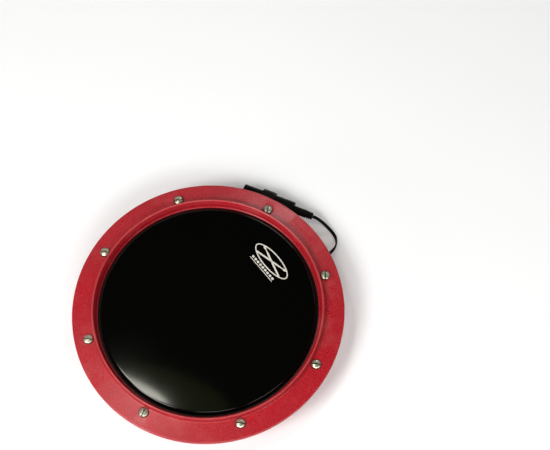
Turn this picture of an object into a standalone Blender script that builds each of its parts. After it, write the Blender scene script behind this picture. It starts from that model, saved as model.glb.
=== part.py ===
"""A tunable drum practice pad with a stick sensor, modelled piece by piece.

A moulded base holds a foam disc under a drumhead. A moulded rim is drawn down on the
head's hoop by a circle of slotted screws, which run in brass inserts in the base. A piezo
disc under the foam feels each stroke, and a short lead takes its signal out through a
grommet to an in-line jack socket, clipped beside the base.

Units are metres, +Z is up, the pad stands on z = 0 with its axis on Z, and the jack
socket's axis runs along X.
"""

import math

import bmesh
import bpy
from mathutils import Matrix, Vector

# ---------------------------------------------------------------- driving dimensions
SEGMENTS = 48  # flat sides in a full turn of a large round piece
SMALL_SEGMENTS = 12  # and of a small one
CLEARANCE = 0.0003  # the least gap between two pieces that touch or nearly touch

# Rim: a flat flange with a raised bead round the head
RIM_RADIUS = 0.127
RIM_CREST = 0.0432
RIM_SKIRT_BOTTOM = 0.0306
BEAD_INNER_RADIUS = 0.1060
BEAD_OUTER_RADIUS = 0.1076
FLANGE_INNER = (0.1085, 0.0364)  # radius and height where the bead meets the flange
FLANGE_EDGE_HEIGHT = 0.0346
FLANGE_THICKNESS = 0.0028
RIM_FOOT_RADIUS = 0.1030  # inside of the foot that presses on the hoop
RIM_FOOT_TOP = 0.0342  # a small ledge inside the bead, where the foot begins
RIM_FOOT_BOTTOM = 0.0318

# Head: a thin film with a low crown, bent down over the bearing ring into its hoop
HEAD_RADIUS = 0.1002
HEAD_FLAT_RADIUS = 0.0984
HEAD_EDGE_HEIGHT = 0.0367
HEAD_CROWN = 0.0022
HEAD_BEND = 0.0018
HEAD_SKIRT_BOTTOM = 0.0296
FILM_THICKNESS = 0.0004
HOOP_TOP = RIM_FOOT_BOTTOM - CLEARANCE
HOOP_BOTTOM = 0.0283
HOOP_OUTER_RADIUS = 0.1050

# Base: a round pan with a bearing ring inside it
BASE_BOTTOM = 0.0030
BASE_FLOOR = 0.0065
BASE_TOP = 0.0300
BASE_FOOT_RADIUS = 0.1187
BASE_WALL_RADIUS = 0.1200
BASE_LIP_RADIUS = 0.1215
BASE_LIP_BOTTOM = 0.0272
BASE_WALL = 0.0026
BEARING_OUTER_RADIUS = 0.0995
BEARING_INNER_RADIUS = 0.0966
BEARING_TOP = 0.0361
LEDGE_RADIUS = 0.0925  # the bearing ring is thicker below, as a ledge for the board
LEDGE_HEIGHT = 0.0205
FOOT_OUTER_RADIUS = 0.1095  # rubber ring in a channel of the underside
FOOT_INNER_RADIUS = 0.0985
FOOT_TOP = 0.0042

# Tension screws: number 10, 24 threads to the inch, slotted round heads
SCREW_COUNT = 8
SCREW_CIRCLE_RADIUS = 0.1138
FIRST_SCREW_ANGLE = math.radians(38.3)
SCREW_HEAD_RADIUS = 0.00455
SCREW_HEAD_HEIGHT = 0.0027
SCREW_SHANK_RADIUS = 0.0023
SCREW_LENGTH = 0.0190
SCREW_SEAT_HEIGHT = 0.0355
SLOT_WIDTH = 0.0011
SLOT_DEPTH = 0.0013
SLOT_ANGLES = [math.radians(a) for a in (109, 96, 30, 13, 14, 87, 12, 14)]
INSERT_RADIUS = 0.0034
INSERT_BORE = 0.0027
INSERT_LENGTH = 0.0120
BOSS_RADIUS = 0.0046

# Stand mount: a metal bush in the middle of the underside, for an 8 mm thread
STAND_BUSH_RADIUS = 0.0065
STAND_BORE = 0.0034
STAND_BUSH_LENGTH = 0.0115
STAND_BOSS_RADIUS = 0.0110

# Sensor, off centre under the board that carries the foam
BOARD_THICKNESS = 0.0030
FOAM_BOTTOM = LEDGE_HEIGHT + BOARD_THICKNESS + 2 * CLEARANCE
PIEZO_DISTANCE = 0.045
PIEZO_RADIUS = 0.0135
CERAMIC_RADIUS = 0.0100
LEAD_ANGLE = math.radians(50.5)  # where the lead leaves the base
LEAD_HEIGHT = 0.0120
INNER_LEAD_RADIUS = 0.0011
GROMMET_TIP = 0.1225  # its outer end, from the pad's axis
GROMMET_INNER_END = 0.1122
GROMMET_NECK = 0.0034

# In-line jack socket, its axis along X beside the base
JACK_Y = 0.1322
JACK_HEIGHT = 0.0145
JACK_RADIUS = 0.00715
JACK_FRONT = -0.0209
JACK_REAR = 0.0323
BOOT_REAR = 0.0532
BOOT_NECK = 0.0027
PLUG_BORE = 0.0033
CLIP_FRONT = -0.0015
CLIP_REAR = 0.0116
CLIP_RADIUS = 0.00935
CLIP_SCREW_X = (CLIP_FRONT + CLIP_REAR) / 2.0
CLIP_SCREW_RADIUS = 0.0014
CLIP_SCREW_HEAD_RADIUS = 0.0026
TRIGGER_LEAD_RADIUS = 0.00165

# ---------------------------------------------------------------- helpers


def clear_scene():
    """Remove every object, and the meshes and curves that they leave."""
    for obj in list(bpy.data.objects):
        bpy.data.objects.remove(obj, do_unlink=True)
    for mesh in list(bpy.data.meshes):
        bpy.data.meshes.remove(mesh)


def new_collection(name):
    collection = bpy.data.collections.new(name)
    bpy.context.scene.collection.children.link(collection)
    return collection


clear_scene()
PARTS = new_collection("practice_pad")
CUTTERS = new_collection("cutters")


def principled(name, colour, roughness, metallic=0.0):
    material = bpy.data.materials.new(name)
    material.use_nodes = True
    shader = material.node_tree.nodes["Principled BSDF"]
    shader.inputs["Base Color"].default_value = (*colour, 1.0)
    shader.inputs["Roughness"].default_value = roughness
    shader.inputs["Metallic"].default_value = metallic
    return material


def rounded(corners, steps=1):
    """Points of an outline. A corner (x, y, radius) with a radius becomes an arc.

    One step makes the arc a chamfer between the same two points.
    """
    points = []
    for i, corner in enumerate(corners):
        here = Vector(corner[:2])
        radius = corner[2] if len(corner) > 2 else 0.0
        if radius <= 0.0:
            points.append(here)
            continue
        before = (Vector(corners[i - 1][:2]) - here).normalized()
        after = (Vector(corners[(i + 1) % len(corners)][:2]) - here).normalized()
        half_angle = before.angle(after) / 2.0
        middle = (before + after).normalized()
        centre = here + middle * (radius / math.sin(half_angle))
        start = here + before * (radius / math.tan(half_angle)) - centre
        end = here + after * (radius / math.tan(half_angle)) - centre
        swing = start.angle_signed(end)
        for k in range(steps + 1):
            turn = Matrix.Rotation(-swing * k / steps, 2)
            points.append(centre + turn @ start)
    return points


def place(obj, material, collection=PARTS):
    collection.objects.link(obj)
    if material is not None:
        obj.data.materials.append(material)
    return obj


def smooth(mesh, sharp_degrees=35.0):
    mesh.shade_smooth()
    mesh.set_sharp_from_angle(angle=math.radians(sharp_degrees))


def turned(name, profile, material, segments=SEGMENTS, ring=True, collection=PARTS):
    """A profile of (radius, height) points, turned about the object's own Z."""
    mesh = bpy.data.meshes.new(name)
    verts = [(p[0], 0.0, p[1]) for p in profile]
    edges = [(i, i + 1) for i in range(len(verts) - 1)]
    if ring:
        edges.append((len(verts) - 1, 0))
    mesh.from_pydata(verts, edges, [])
    obj = place(bpy.data.objects.new(name, mesh), material, collection)
    screw = obj.modifiers.new("turn", "SCREW")
    screw.axis = "Z"
    screw.angle = 2.0 * math.pi
    screw.steps = segments
    screw.render_steps = segments
    screw.use_merge_vertices = True
    screw.merge_threshold = 0.00001
    screw.use_smooth_shade = True
    return obj


def solid_mesh(name, build, material, collection=PARTS):
    """An object whose mesh is made by a function that fills a bmesh."""
    mesh = bpy.data.meshes.new(name)
    work = bmesh.new()
    build(work)
    bmesh.ops.recalc_face_normals(work, faces=work.faces)
    work.to_mesh(mesh)
    work.free()
    smooth(mesh)
    return place(bpy.data.objects.new(name, mesh), material, collection)


def cylinders(name, centres, radius, bottom, top, segments=SMALL_SEGMENTS):
    """Upright cylinders at the given (x, y) centres, as one cutter."""

    def build(work):
        for x, y in centres:
            bmesh.ops.create_cone(
                work,
                cap_ends=True,
                segments=segments,
                radius1=radius,
                radius2=radius,
                depth=top - bottom,
                matrix=Matrix.Translation((x, y, (top + bottom) / 2.0)),
            )

    return as_cutter(solid_mesh(name, build, None, CUTTERS))


def rod_cutter(name, start, end, radius, segments=SMALL_SEGMENTS):
    """A cylinder from one point to another, as a cutter."""
    start, end = Vector(start), Vector(end)
    turn = (end - start).to_track_quat("Z", "Y").to_matrix().to_4x4()

    def build(work):
        bmesh.ops.create_cone(
            work,
            cap_ends=True,
            segments=segments,
            radius1=radius,
            radius2=radius,
            depth=(end - start).length,
            matrix=Matrix.Translation((start + end) / 2.0) @ turn,
        )

    return as_cutter(solid_mesh(name, build, None, CUTTERS))


def as_cutter(obj):
    obj.hide_render = True
    obj.display_type = "WIRE"
    return obj


def boolean(obj, other, operation="DIFFERENCE"):
    step = obj.modifiers.new(other.name, "BOOLEAN")
    step.operation = operation
    step.solver = "EXACT"
    step.object = other


def baked_mesh(obj, name):
    """The object's shape after its modifiers, as a new mesh."""
    bpy.context.view_layer.update()
    graph = bpy.context.evaluated_depsgraph_get()
    mesh = bpy.data.meshes.new_from_object(obj.evaluated_get(graph))
    mesh.name = name
    return mesh


def extruded(name, outline, depth, material):
    """A flat outline with a thickness along its own Z, centred on it, as a mesh."""
    curve = bpy.data.curves.new(name, "CURVE")
    curve.dimensions = "2D"
    curve.fill_mode = "BOTH"
    curve.extrude = depth / 2.0
    spline = curve.splines.new("POLY")
    spline.points.add(len(outline) - 1)
    for point, (x, y) in zip(spline.points, outline):
        point.co = (x, y, 0.0, 1.0)
    spline.use_cyclic_u = True
    guide = place(bpy.data.objects.new(name + "_outline", curve), None, CUTTERS)
    mesh = baked_mesh(guide, name)
    bpy.data.objects.remove(guide, do_unlink=True)
    work = bmesh.new()
    work.from_mesh(mesh)
    bmesh.ops.remove_doubles(work, verts=work.verts, dist=0.00001)
    bmesh.ops.recalc_face_normals(work, faces=work.faces)
    work.to_mesh(mesh)
    work.free()
    smooth(mesh)
    return place(bpy.data.objects.new(name, mesh), material)


def smooth_route(points, step):
    """Points on a Catmull-Rom curve through the route's points, a given step apart.

    The route's first and last stretches stay straight, so that its ends are square.
    """
    route = [Vector(p) for p in points]
    fine = []
    for a, b, c, d in zip(route, route[1:], route[2:], route[3:]):
        for k in range(20):
            t = k / 20.0
            line = 2 * b + (c - a) * t
            bend = (2 * a - 5 * b + 4 * c - d) * t * t + (3 * b - 3 * c + d - a) * t * t * t
            fine.append(0.5 * (line + bend))
    spaced = [fine[0]]
    for point in fine[1:]:
        far_enough = (point - spaced[-1]).length >= step
        if far_enough and (point - route[-2]).length >= step / 2.0:
            spaced.append(point)
    return [route[0], *spaced, route[-2], route[-1]]


def tube(name, route, radius, material):
    """A round lead along a route, closed at both ends."""
    curve = bpy.data.curves.new(name, "CURVE")
    curve.dimensions = "3D"
    curve.bevel_depth = radius
    curve.bevel_resolution = 2
    curve.use_fill_caps = True
    spline = curve.splines.new("POLY")
    points = smooth_route(route, 5.0 * radius)
    spline.points.add(len(points) - 1)
    for point, place_at in zip(spline.points, points):
        point.co = (*place_at, 1.0)
    return place(bpy.data.objects.new(name, curve), material)


def on_circle(radius, angle):
    return (radius * math.cos(angle), radius * math.sin(angle))


def arc(radius, start, end, steps):
    """Points on a circle from one angle to another, both included."""
    return [on_circle(radius, start + (end - start) * k / steps) for k in range(steps + 1)]


def screw_angles():
    step = 2.0 * math.pi / SCREW_COUNT
    return [FIRST_SCREW_ANGLE + i * step for i in range(SCREW_COUNT)]


def screw_places():
    return [on_circle(SCREW_CIRCLE_RADIUS, angle) for angle in screw_angles()]


def head_height(radius):
    """Top of the film at a radius: nearly flat in the middle, falling to its edge."""
    return HEAD_EDGE_HEIGHT + HEAD_CROWN * (1.0 - (radius / HEAD_FLAT_RADIUS) ** 3)


# ---------------------------------------------------------------- materials
RED_PLASTIC = principled("red_plastic", (0.43, 0.012, 0.018), 0.40)
BLACK_FILM = principled("black_film", (0.006, 0.006, 0.006), 0.12)
BLACK_RUBBER = principled("black_rubber", (0.020, 0.020, 0.021), 0.75)
BLACK_PLASTIC = principled("black_plastic", (0.015, 0.015, 0.014), 0.40)
CORD_PLASTIC = principled("cord_plastic", (0.018, 0.018, 0.018), 0.50)
NICKEL = principled("nickel", (0.66, 0.65, 0.56), 0.28, 1.0)
BRASS = principled("brass", (0.72, 0.52, 0.20), 0.35, 1.0)
HOOP_METAL = principled("hoop_metal", (0.014, 0.014, 0.014), 0.45)
FOAM = principled("foam", (0.10, 0.10, 0.11), 0.95)
BOARD = principled("board", (0.30, 0.20, 0.12), 0.80)
CERAMIC = principled("ceramic", (0.80, 0.78, 0.72), 0.50)

# ---------------------------------------------------------------- base


def base_profile():
    """Section of the pan: floor, bearing ring, trough, outer wall and underside."""
    return rounded(
        [
            (0.0, BASE_FLOOR),
            (LEDGE_RADIUS, BASE_FLOOR),
            (LEDGE_RADIUS, LEDGE_HEIGHT),
            (BEARING_INNER_RADIUS, LEDGE_HEIGHT),
            (BEARING_INNER_RADIUS, BEARING_TOP, 0.0008),
            (BEARING_OUTER_RADIUS, BEARING_TOP, 0.0014),
            (BEARING_OUTER_RADIUS, BASE_FLOOR),
            (BASE_FOOT_RADIUS - BASE_WALL, BASE_FLOOR),
            (BASE_WALL_RADIUS - BASE_WALL, BASE_TOP),
            (BASE_LIP_RADIUS, BASE_TOP, 0.0006),
            (BASE_LIP_RADIUS, BASE_LIP_BOTTOM, 0.0006),
            (BASE_WALL_RADIUS, BASE_LIP_BOTTOM - 0.0008),
            (BASE_FOOT_RADIUS, BASE_BOTTOM, 0.0015),
            (FOOT_OUTER_RADIUS + CLEARANCE, BASE_BOTTOM),
            (FOOT_OUTER_RADIUS + CLEARANCE, FOOT_TOP + CLEARANCE),
            (FOOT_INNER_RADIUS - CLEARANCE, FOOT_TOP + CLEARANCE),
            (FOOT_INNER_RADIUS - CLEARANCE, BASE_BOTTOM),
            (0.0, BASE_BOTTOM),
        ]
    )


def rib_set():
    """Upright ribs that tie the bearing ring to the screw bosses."""
    inner, outer = BEARING_OUTER_RADIUS - 0.001, SCREW_CIRCLE_RADIUS
    bottom, top = BASE_FLOOR - 0.001, 0.0235

    def build(work):
        for angle in screw_angles():
            middle = Matrix.Translation(((inner + outer) / 2.0, 0.0, (bottom + top) / 2.0))
            size = Matrix.Diagonal((outer - inner, 0.0024, top - bottom, 1.0))
            turn = Matrix.Rotation(angle, 4, "Z")
            bmesh.ops.create_cube(work, size=1.0, matrix=turn @ middle @ size)

    return as_cutter(solid_mesh("rib_set", build, None, CUTTERS))


def build_base():
    base = turned("base_shell", base_profile(), RED_PLASTIC, ring=False)
    inner_floor = BASE_FLOOR - 0.001
    bosses = cylinders("screw_bosses", screw_places(), BOSS_RADIUS, inner_floor, BASE_TOP)
    boolean(base, bosses, "UNION")
    boolean(base, rib_set(), "UNION")
    stand_boss_top = LEDGE_HEIGHT
    stand_boss = cylinders(
        "stand_boss", [(0.0, 0.0)], STAND_BOSS_RADIUS, inner_floor, stand_boss_top, 24
    )
    boolean(base, stand_boss, "UNION")
    insert_hole_bottom = BASE_TOP - INSERT_LENGTH - 0.0035
    insert_holes = cylinders(
        "insert_holes",
        screw_places(),
        INSERT_RADIUS + CLEARANCE,
        insert_hole_bottom,
        BASE_TOP + 0.001,
    )
    boolean(base, insert_holes)
    stand_hole = cylinders(
        "stand_hole",
        [(0.0, 0.0)],
        STAND_BUSH_RADIUS + CLEARANCE,
        BASE_BOTTOM - 0.001,
        BASE_BOTTOM + STAND_BUSH_LENGTH + 0.0008,
        16,
    )
    boolean(base, stand_hole)
    lead_way = rod_cutter(
        "lead_way",
        (*on_circle(LEDGE_RADIUS - 0.002, LEAD_ANGLE), LEAD_HEIGHT),
        (*on_circle(BEARING_OUTER_RADIUS + 0.002, LEAD_ANGLE), LEAD_HEIGHT),
        INNER_LEAD_RADIUS + 0.0006,
    )
    boolean(base, lead_way)
    grommet_hole = rod_cutter(
        "grommet_hole",
        (*on_circle(BASE_FOOT_RADIUS - BASE_WALL - 0.002, LEAD_ANGLE), LEAD_HEIGHT),
        (*on_circle(BASE_WALL_RADIUS + 0.002, LEAD_ANGLE), LEAD_HEIGHT),
        GROMMET_NECK + CLEARANCE,
    )
    boolean(base, grommet_hole)
    clip_screw_hole = rod_cutter(
        "clip_screw_hole",
        (CLIP_SCREW_X, BASE_FOOT_RADIUS - 0.006, JACK_HEIGHT),
        (CLIP_SCREW_X, BASE_WALL_RADIUS + 0.002, JACK_HEIGHT),
        CLIP_SCREW_RADIUS + CLEARANCE,
    )
    boolean(base, clip_screw_hole)
    return base


def build_foot_ring():
    edge = 0.0008
    profile = [
        (FOOT_INNER_RADIUS, FOOT_TOP),
        (FOOT_OUTER_RADIUS, FOOT_TOP),
        (FOOT_OUTER_RADIUS, edge),
        (FOOT_OUTER_RADIUS - edge, 0.0),
        (FOOT_INNER_RADIUS + edge, 0.0),
        (FOOT_INNER_RADIUS, edge),
    ]
    return turned("foot_ring", profile, BLACK_RUBBER)


def build_stand_bush():
    bottom = BASE_BOTTOM + 0.0002
    top = bottom + STAND_BUSH_LENGTH
    bevel = 0.0006
    profile = [
        (STAND_BORE, top),
        (STAND_BUSH_RADIUS - bevel, top),
        (STAND_BUSH_RADIUS, top - bevel),
        (STAND_BUSH_RADIUS, bottom),
        (STAND_BORE + bevel, bottom),
        (STAND_BORE, bottom + bevel),
    ]
    return turned("stand_bush", profile, BRASS, 16)


def build_inserts():
    top = BASE_TOP - 0.0002
    profile = [
        (INSERT_BORE, top),
        (INSERT_RADIUS, top),
        (INSERT_RADIUS, top - INSERT_LENGTH),
        (INSERT_BORE, top - INSERT_LENGTH),
    ]
    template = turned("insert_template", profile, BRASS, SMALL_SEGMENTS)
    mesh = baked_mesh(template, "threaded_insert")
    bpy.data.objects.remove(template, do_unlink=True)
    for i, (x, y) in enumerate(screw_places(), start=1):
        insert = place(bpy.data.objects.new(f"threaded_insert_{i}", mesh), None)
        insert.location = (x, y, 0.0)


# ---------------------------------------------------------------- head


def build_head():
    radii = [HEAD_FLAT_RADIUS * share for share in (0.0, 0.5, 0.8, 0.94)]
    crown = [(r, head_height(r)) for r in radii]
    bend = rounded(
        [
            crown[-1],
            (HEAD_RADIUS, HEAD_EDGE_HEIGHT, HEAD_BEND),
            (HEAD_RADIUS, HEAD_SKIRT_BOTTOM),
        ],
        steps=2,
    )
    film = turned("drumhead", crown[:-1] + bend, BLACK_FILM, ring=False)
    shell = film.modifiers.new("thickness", "SOLIDIFY")
    shell.thickness = FILM_THICKNESS
    shell.offset = -1.0
    shell.use_even_offset = True
    return film


def build_hoop():
    inner = HEAD_RADIUS + 0.0005
    profile = rounded(
        [
            (inner, HOOP_TOP),
            (HOOP_OUTER_RADIUS, HOOP_TOP, 0.0006),
            (HOOP_OUTER_RADIUS, HOOP_BOTTOM, 0.0006),
            (inner, HOOP_BOTTOM),
        ],
    )
    return turned("flesh_hoop", profile, HOOP_METAL)


def build_board():
    radius = BEARING_INNER_RADIUS - 0.0005
    bottom = LEDGE_HEIGHT + CLEARANCE
    profile = [
        (0.0, bottom + BOARD_THICKNESS),
        (radius, bottom + BOARD_THICKNESS),
        (radius, bottom),
        (0.0, bottom),
    ]
    return turned("backing_board", profile, BOARD, ring=False)


def build_foam():
    """The foam fills the space between the board and the film, and follows its crown."""
    gap = FILM_THICKNESS + CLEARANCE + 0.0001
    edge = BEARING_INNER_RADIUS - 0.0010
    top = [(edge * share, head_height(edge * share) - gap) for share in (0.0, 0.5, 0.8, 0.96)]
    profile = [*top, (edge, top[-1][1] - 0.0012), (edge, FOAM_BOTTOM), (0.0, FOAM_BOTTOM)]
    return turned("foam_disc", profile, FOAM, ring=False)


# ---------------------------------------------------------------- rim and screws


def rim_profile():
    """Section of the rim: bead, flange, outer skirt and the foot on the hoop."""
    drop = FLANGE_THICKNESS
    skirt_inner = RIM_RADIUS - 0.0022
    return rounded(
        [
            (BEAD_INNER_RADIUS, RIM_CREST, 0.0012),
            (BEAD_OUTER_RADIUS, RIM_CREST, 0.0006),
            (*FLANGE_INNER, 0.0010),
            (RIM_RADIUS, FLANGE_EDGE_HEIGHT, 0.0014),
            (RIM_RADIUS, RIM_SKIRT_BOTTOM, 0.0005),
            (skirt_inner, RIM_SKIRT_BOTTOM),
            (skirt_inner - 0.0002, FLANGE_EDGE_HEIGHT - drop),
            (BEAD_INNER_RADIUS + 0.0003, FLANGE_INNER[1] - drop),
            (BEAD_INNER_RADIUS - 0.0011, RIM_FOOT_BOTTOM),
            (RIM_FOOT_RADIUS, RIM_FOOT_BOTTOM),
            (RIM_FOOT_RADIUS, RIM_FOOT_TOP, 0.0004),
            (RIM_FOOT_RADIUS + 0.0007, RIM_FOOT_TOP + 0.0003),
            (BEAD_INNER_RADIUS - 0.0017, RIM_CREST - 0.0045, 0.0040),
        ]
    )


def build_rim():
    rim = turned("rim", rim_profile(), RED_PLASTIC)
    above = FLANGE_INNER[1] + 0.004
    seats = cylinders(
        "screw_seats", screw_places(), SCREW_HEAD_RADIUS + CLEARANCE, SCREW_SEAT_HEIGHT, above
    )
    boolean(rim, seats)
    holes = cylinders(
        "screw_holes",
        screw_places(),
        SCREW_SHANK_RADIUS + 0.0005,
        RIM_FOOT_BOTTOM - 0.002,
        above,
    )
    boolean(rim, holes)
    return rim


def screw_mesh():
    """One slotted screw, upright, with the underside of its head at z = 0."""
    tip = 0.0008
    profile = rounded(
        [
            (0.0, SCREW_HEAD_HEIGHT),
            (0.0016, SCREW_HEAD_HEIGHT),
            (SCREW_HEAD_RADIUS, SCREW_HEAD_HEIGHT, 0.0018),
            (SCREW_HEAD_RADIUS, 0.0),
            (SCREW_SHANK_RADIUS, 0.0),
            (SCREW_SHANK_RADIUS, tip - SCREW_LENGTH),
            (SCREW_SHANK_RADIUS - tip, -SCREW_LENGTH),
            (0.0, -SCREW_LENGTH),
        ],
        steps=2,
    )
    template = turned("screw_template", profile, NICKEL, SMALL_SEGMENTS, ring=False)

    def build(work):
        size = Matrix.Diagonal((4 * SCREW_HEAD_RADIUS, SLOT_WIDTH, 2 * SLOT_DEPTH, 1.0))
        middle = Matrix.Translation((0.0, 0.0, SCREW_HEAD_HEIGHT))
        bmesh.ops.create_cube(work, size=1.0, matrix=middle @ size)

    slot = as_cutter(solid_mesh("slot", build, None, CUTTERS))
    boolean(template, slot)
    mesh = baked_mesh(template, "tension_screw")
    bpy.data.objects.remove(template, do_unlink=True)
    bpy.data.objects.remove(slot, do_unlink=True)
    return mesh


def build_screws(rim):
    """The screws stand on the rim, each with its origin on its own axis."""
    mesh = screw_mesh()
    underside = SCREW_SEAT_HEIGHT + CLEARANCE
    for i, (x, y) in enumerate(screw_places(), start=1):
        screw = place(bpy.data.objects.new(f"tension_screw_{i}", mesh), None)
        screw.parent = rim
        screw.location = (x, y, underside)
        screw.rotation_euler = (0.0, 0.0, SLOT_ANGLES[i - 1])


# ---------------------------------------------------------------- sensor and its lead


def build_sensor():
    """A piezo disc stuck under the board with a foam pad, towards the lead's exit."""
    x, y = on_circle(PIEZO_DISTANCE, LEAD_ANGLE)
    top = LEDGE_HEIGHT
    layers = [
        ("sensor_pad", PIEZO_RADIUS - 0.0005, 0.0014, FOAM),
        ("piezo_plate", PIEZO_RADIUS, 0.0004, BRASS),
        ("piezo_ceramic", CERAMIC_RADIUS, 0.0004, CERAMIC),
    ]
    for name, radius, thickness, material in layers:
        profile = [(0.0, 0.0), (radius, 0.0), (radius, -thickness), (0.0, -thickness)]
        layer = turned(name, profile, material, 24, ring=False)
        layer.location = (x, y, top)
        top -= thickness + CLEARANCE
    return top


def build_sensor_lead(piezo_bottom):
    """The lead inside the base, from the piezo disc to the grommet."""
    route = [
        (PIEZO_DISTANCE + 0.004, piezo_bottom - INNER_LEAD_RADIUS),
        (0.058, 0.0146),
        (0.070, 0.0128),
        (0.084, LEAD_HEIGHT),
        (0.098, LEAD_HEIGHT),
        (GROMMET_INNER_END - CLEARANCE, LEAD_HEIGHT),
    ]
    points = [(*on_circle(radius, LEAD_ANGLE), height) for radius, height in route]
    return tube("sensor_lead", points, INNER_LEAD_RADIUS, CORD_PLASTIC)


def build_grommet():
    """A rubber grommet through the base's wall, its axis pointing outwards."""
    wall_inside = BASE_FOOT_RADIUS - BASE_WALL - 0.0004
    wall_outside = BASE_FOOT_RADIUS + 0.0012
    flange = 0.0046
    profile = [
        (0.0, GROMMET_TIP),
        (TRIGGER_LEAD_RADIUS + 0.0006, GROMMET_TIP),
        (GROMMET_NECK - 0.0004, wall_outside + 0.0018),
        (flange, wall_outside + 0.0014),
        (flange, wall_outside),
        (GROMMET_NECK, wall_outside),
        (GROMMET_NECK, wall_inside),
        (flange, wall_inside),
        (flange, GROMMET_INNER_END + 0.0008),
        (GROMMET_NECK, GROMMET_INNER_END),
        (0.0, GROMMET_INNER_END),
    ]
    grommet = turned("lead_grommet", profile, BLACK_RUBBER, SMALL_SEGMENTS, ring=False)
    grommet.location = (0.0, 0.0, LEAD_HEIGHT)
    grommet.rotation_euler = (0.0, math.pi / 2.0, LEAD_ANGLE)
    return grommet


def build_trigger_lead():
    """The free loop of flat lead, from the grommet down to the table and up to the jack."""
    start = (*on_circle(GROMMET_TIP + CLEARANCE, LEAD_ANGLE), LEAD_HEIGHT)
    route = [
        start,
        (*on_circle(GROMMET_TIP + 0.0034, LEAD_ANGLE), 0.0117),
        (0.0819, 0.1022, 0.0102),
        (0.0832, 0.1068, 0.0085),
        (0.0841, 0.1114, 0.0066),
        (0.0842, 0.1163, 0.0046),
        (0.0831, 0.1207, 0.0032),
        (0.0808, 0.1246, 0.0025),
        (0.0776, 0.1274, 0.0025),
        (0.0735, 0.1295, 0.0037),
        (0.0686, 0.1311, 0.0063),
        (0.0638, 0.1320, 0.0096),
        (0.0592, 0.1323, 0.0126),
        (BOOT_REAR + 0.0030, JACK_Y, 0.0141),
        (BOOT_REAR + CLEARANCE, JACK_Y, JACK_HEIGHT),
    ]
    return tube("trigger_lead", route, TRIGGER_LEAD_RADIUS, CORD_PLASTIC)


# ---------------------------------------------------------------- jack socket and clip


def along_jack(name, profile, material, segments, ring=True):
    """A piece turned about the jack's axis, with heights measured along X."""
    piece = turned(name, profile, material, segments, ring)
    piece.location = (0.0, JACK_Y, JACK_HEIGHT)
    piece.rotation_euler = (0.0, math.pi / 2.0, 0.0)
    return piece


def build_jack_bushing():
    """The moulded nose that the plug goes into, flanged in front, necked inside."""
    flange_rear = JACK_FRONT + 0.0030
    neck_rear = JACK_FRONT + 0.0125
    neck = JACK_RADIUS - 0.0017
    profile = [
        (PLUG_BORE, neck_rear),
        (neck, neck_rear),
        (neck, flange_rear),
        (JACK_RADIUS, flange_rear),
        (JACK_RADIUS, JACK_FRONT + 0.0006),
        (JACK_RADIUS - 0.0006, JACK_FRONT),
        (PLUG_BORE + 0.0005, JACK_FRONT),
        (PLUG_BORE, JACK_FRONT + 0.0005),
    ]
    # the profile climbs along +X, so its outer side is listed from the rear to the front
    return along_jack("jack_bushing", profile, BLACK_PLASTIC, 16)


def build_jack_housing():
    """The barrel, open in front round the bushing and closed to the boot behind."""
    front = JACK_FRONT + 0.0030 + CLEARANCE
    inner = JACK_RADIUS - 0.0013
    profile = [
        (BOOT_NECK + CLEARANCE, JACK_REAR),
        (JACK_RADIUS - 0.0006, JACK_REAR),
        (JACK_RADIUS, JACK_REAR - 0.0006),
        (JACK_RADIUS, front),
        (inner, front),
        (inner, JACK_REAR - 0.0025),
        (BOOT_NECK + CLEARANCE, JACK_REAR - 0.0025),
    ]
    return along_jack("jack_housing", profile, BLACK_PLASTIC, 24)


def build_jack_insulator():
    """The washer stack behind the bushing that carries the tip contact."""
    front = JACK_FRONT + 0.0125 + CLEARANCE
    outer = JACK_RADIUS - 0.0017
    profile = [
        (PLUG_BORE, front + 0.0028),
        (outer, front + 0.0028),
        (outer, front),
        (PLUG_BORE, front),
    ]
    return along_jack("jack_insulator", profile, BOARD, 16)


def build_tip_contact():
    """The bent strip that springs against the plug's tip, in the plane above the axis."""
    start = JACK_FRONT + 0.0125 + 0.0028 + 3 * CLEARANCE
    strip = 0.0004
    upper = [
        (start, 0.0050),
        (start + 0.0080, 0.0046),
        (start + 0.0125, 0.0026),
        (start + 0.0150, 0.0042),
    ]
    outline = [*upper, *[(x, z - strip) for x, z in reversed(upper)]]
    contact = extruded("tip_contact", outline, 0.0024, BRASS)
    contact.location = (0.0, JACK_Y, JACK_HEIGHT)
    contact.rotation_euler = (math.pi / 2.0, 0.0, 0.0)
    return contact


def build_jack_boot():
    """The moulded strain relief behind the barrel: a neck, a body and a ridged end."""
    radius = 0.0039
    body_front = JACK_REAR + CLEARANCE
    ridge_step = 0.0019
    body = [
        (0.0, BOOT_REAR),
        (TRIGGER_LEAD_RADIUS + 0.0007, BOOT_REAR),
    ]
    for k in range(3):
        rear = BOOT_REAR - 0.0008 - k * ridge_step
        crest = 0.0036 + 0.0001 * k
        body += [(crest, rear), (crest, rear - 0.0010), (crest - 0.0005, rear - 0.0014)]
    body += [
        (radius, BOOT_REAR - 0.0072),
        (radius, body_front + 0.0006),
        (radius - 0.0006, body_front),
        (BOOT_NECK, body_front),
        (BOOT_NECK, JACK_REAR - 0.0050),
        (0.0, JACK_REAR - 0.0050),
    ]
    return along_jack("jack_boot", body, BLACK_PLASTIC, 16, ring=False)


def clip_outline():
    """A C that grips the barrel, open below, with a stem to the base's wall."""
    inner = JACK_RADIUS + CLEARANCE
    stem_half = 0.0058
    stem_end = BASE_WALL_RADIUS + CLEARANCE - JACK_Y
    stem_angle = math.asin(stem_half / CLIP_RADIUS)
    first_lip, last_lip = math.radians(-48.0), math.radians(248.0)
    outer = arc(CLIP_RADIUS, first_lip, math.pi - stem_angle, 12)
    outer += [(stem_end, stem_half), (stem_end, -stem_half)]
    outer += arc(CLIP_RADIUS, math.pi + stem_angle, last_lip, 3)
    return outer + arc(inner, last_lip, first_lip, 16)


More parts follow.
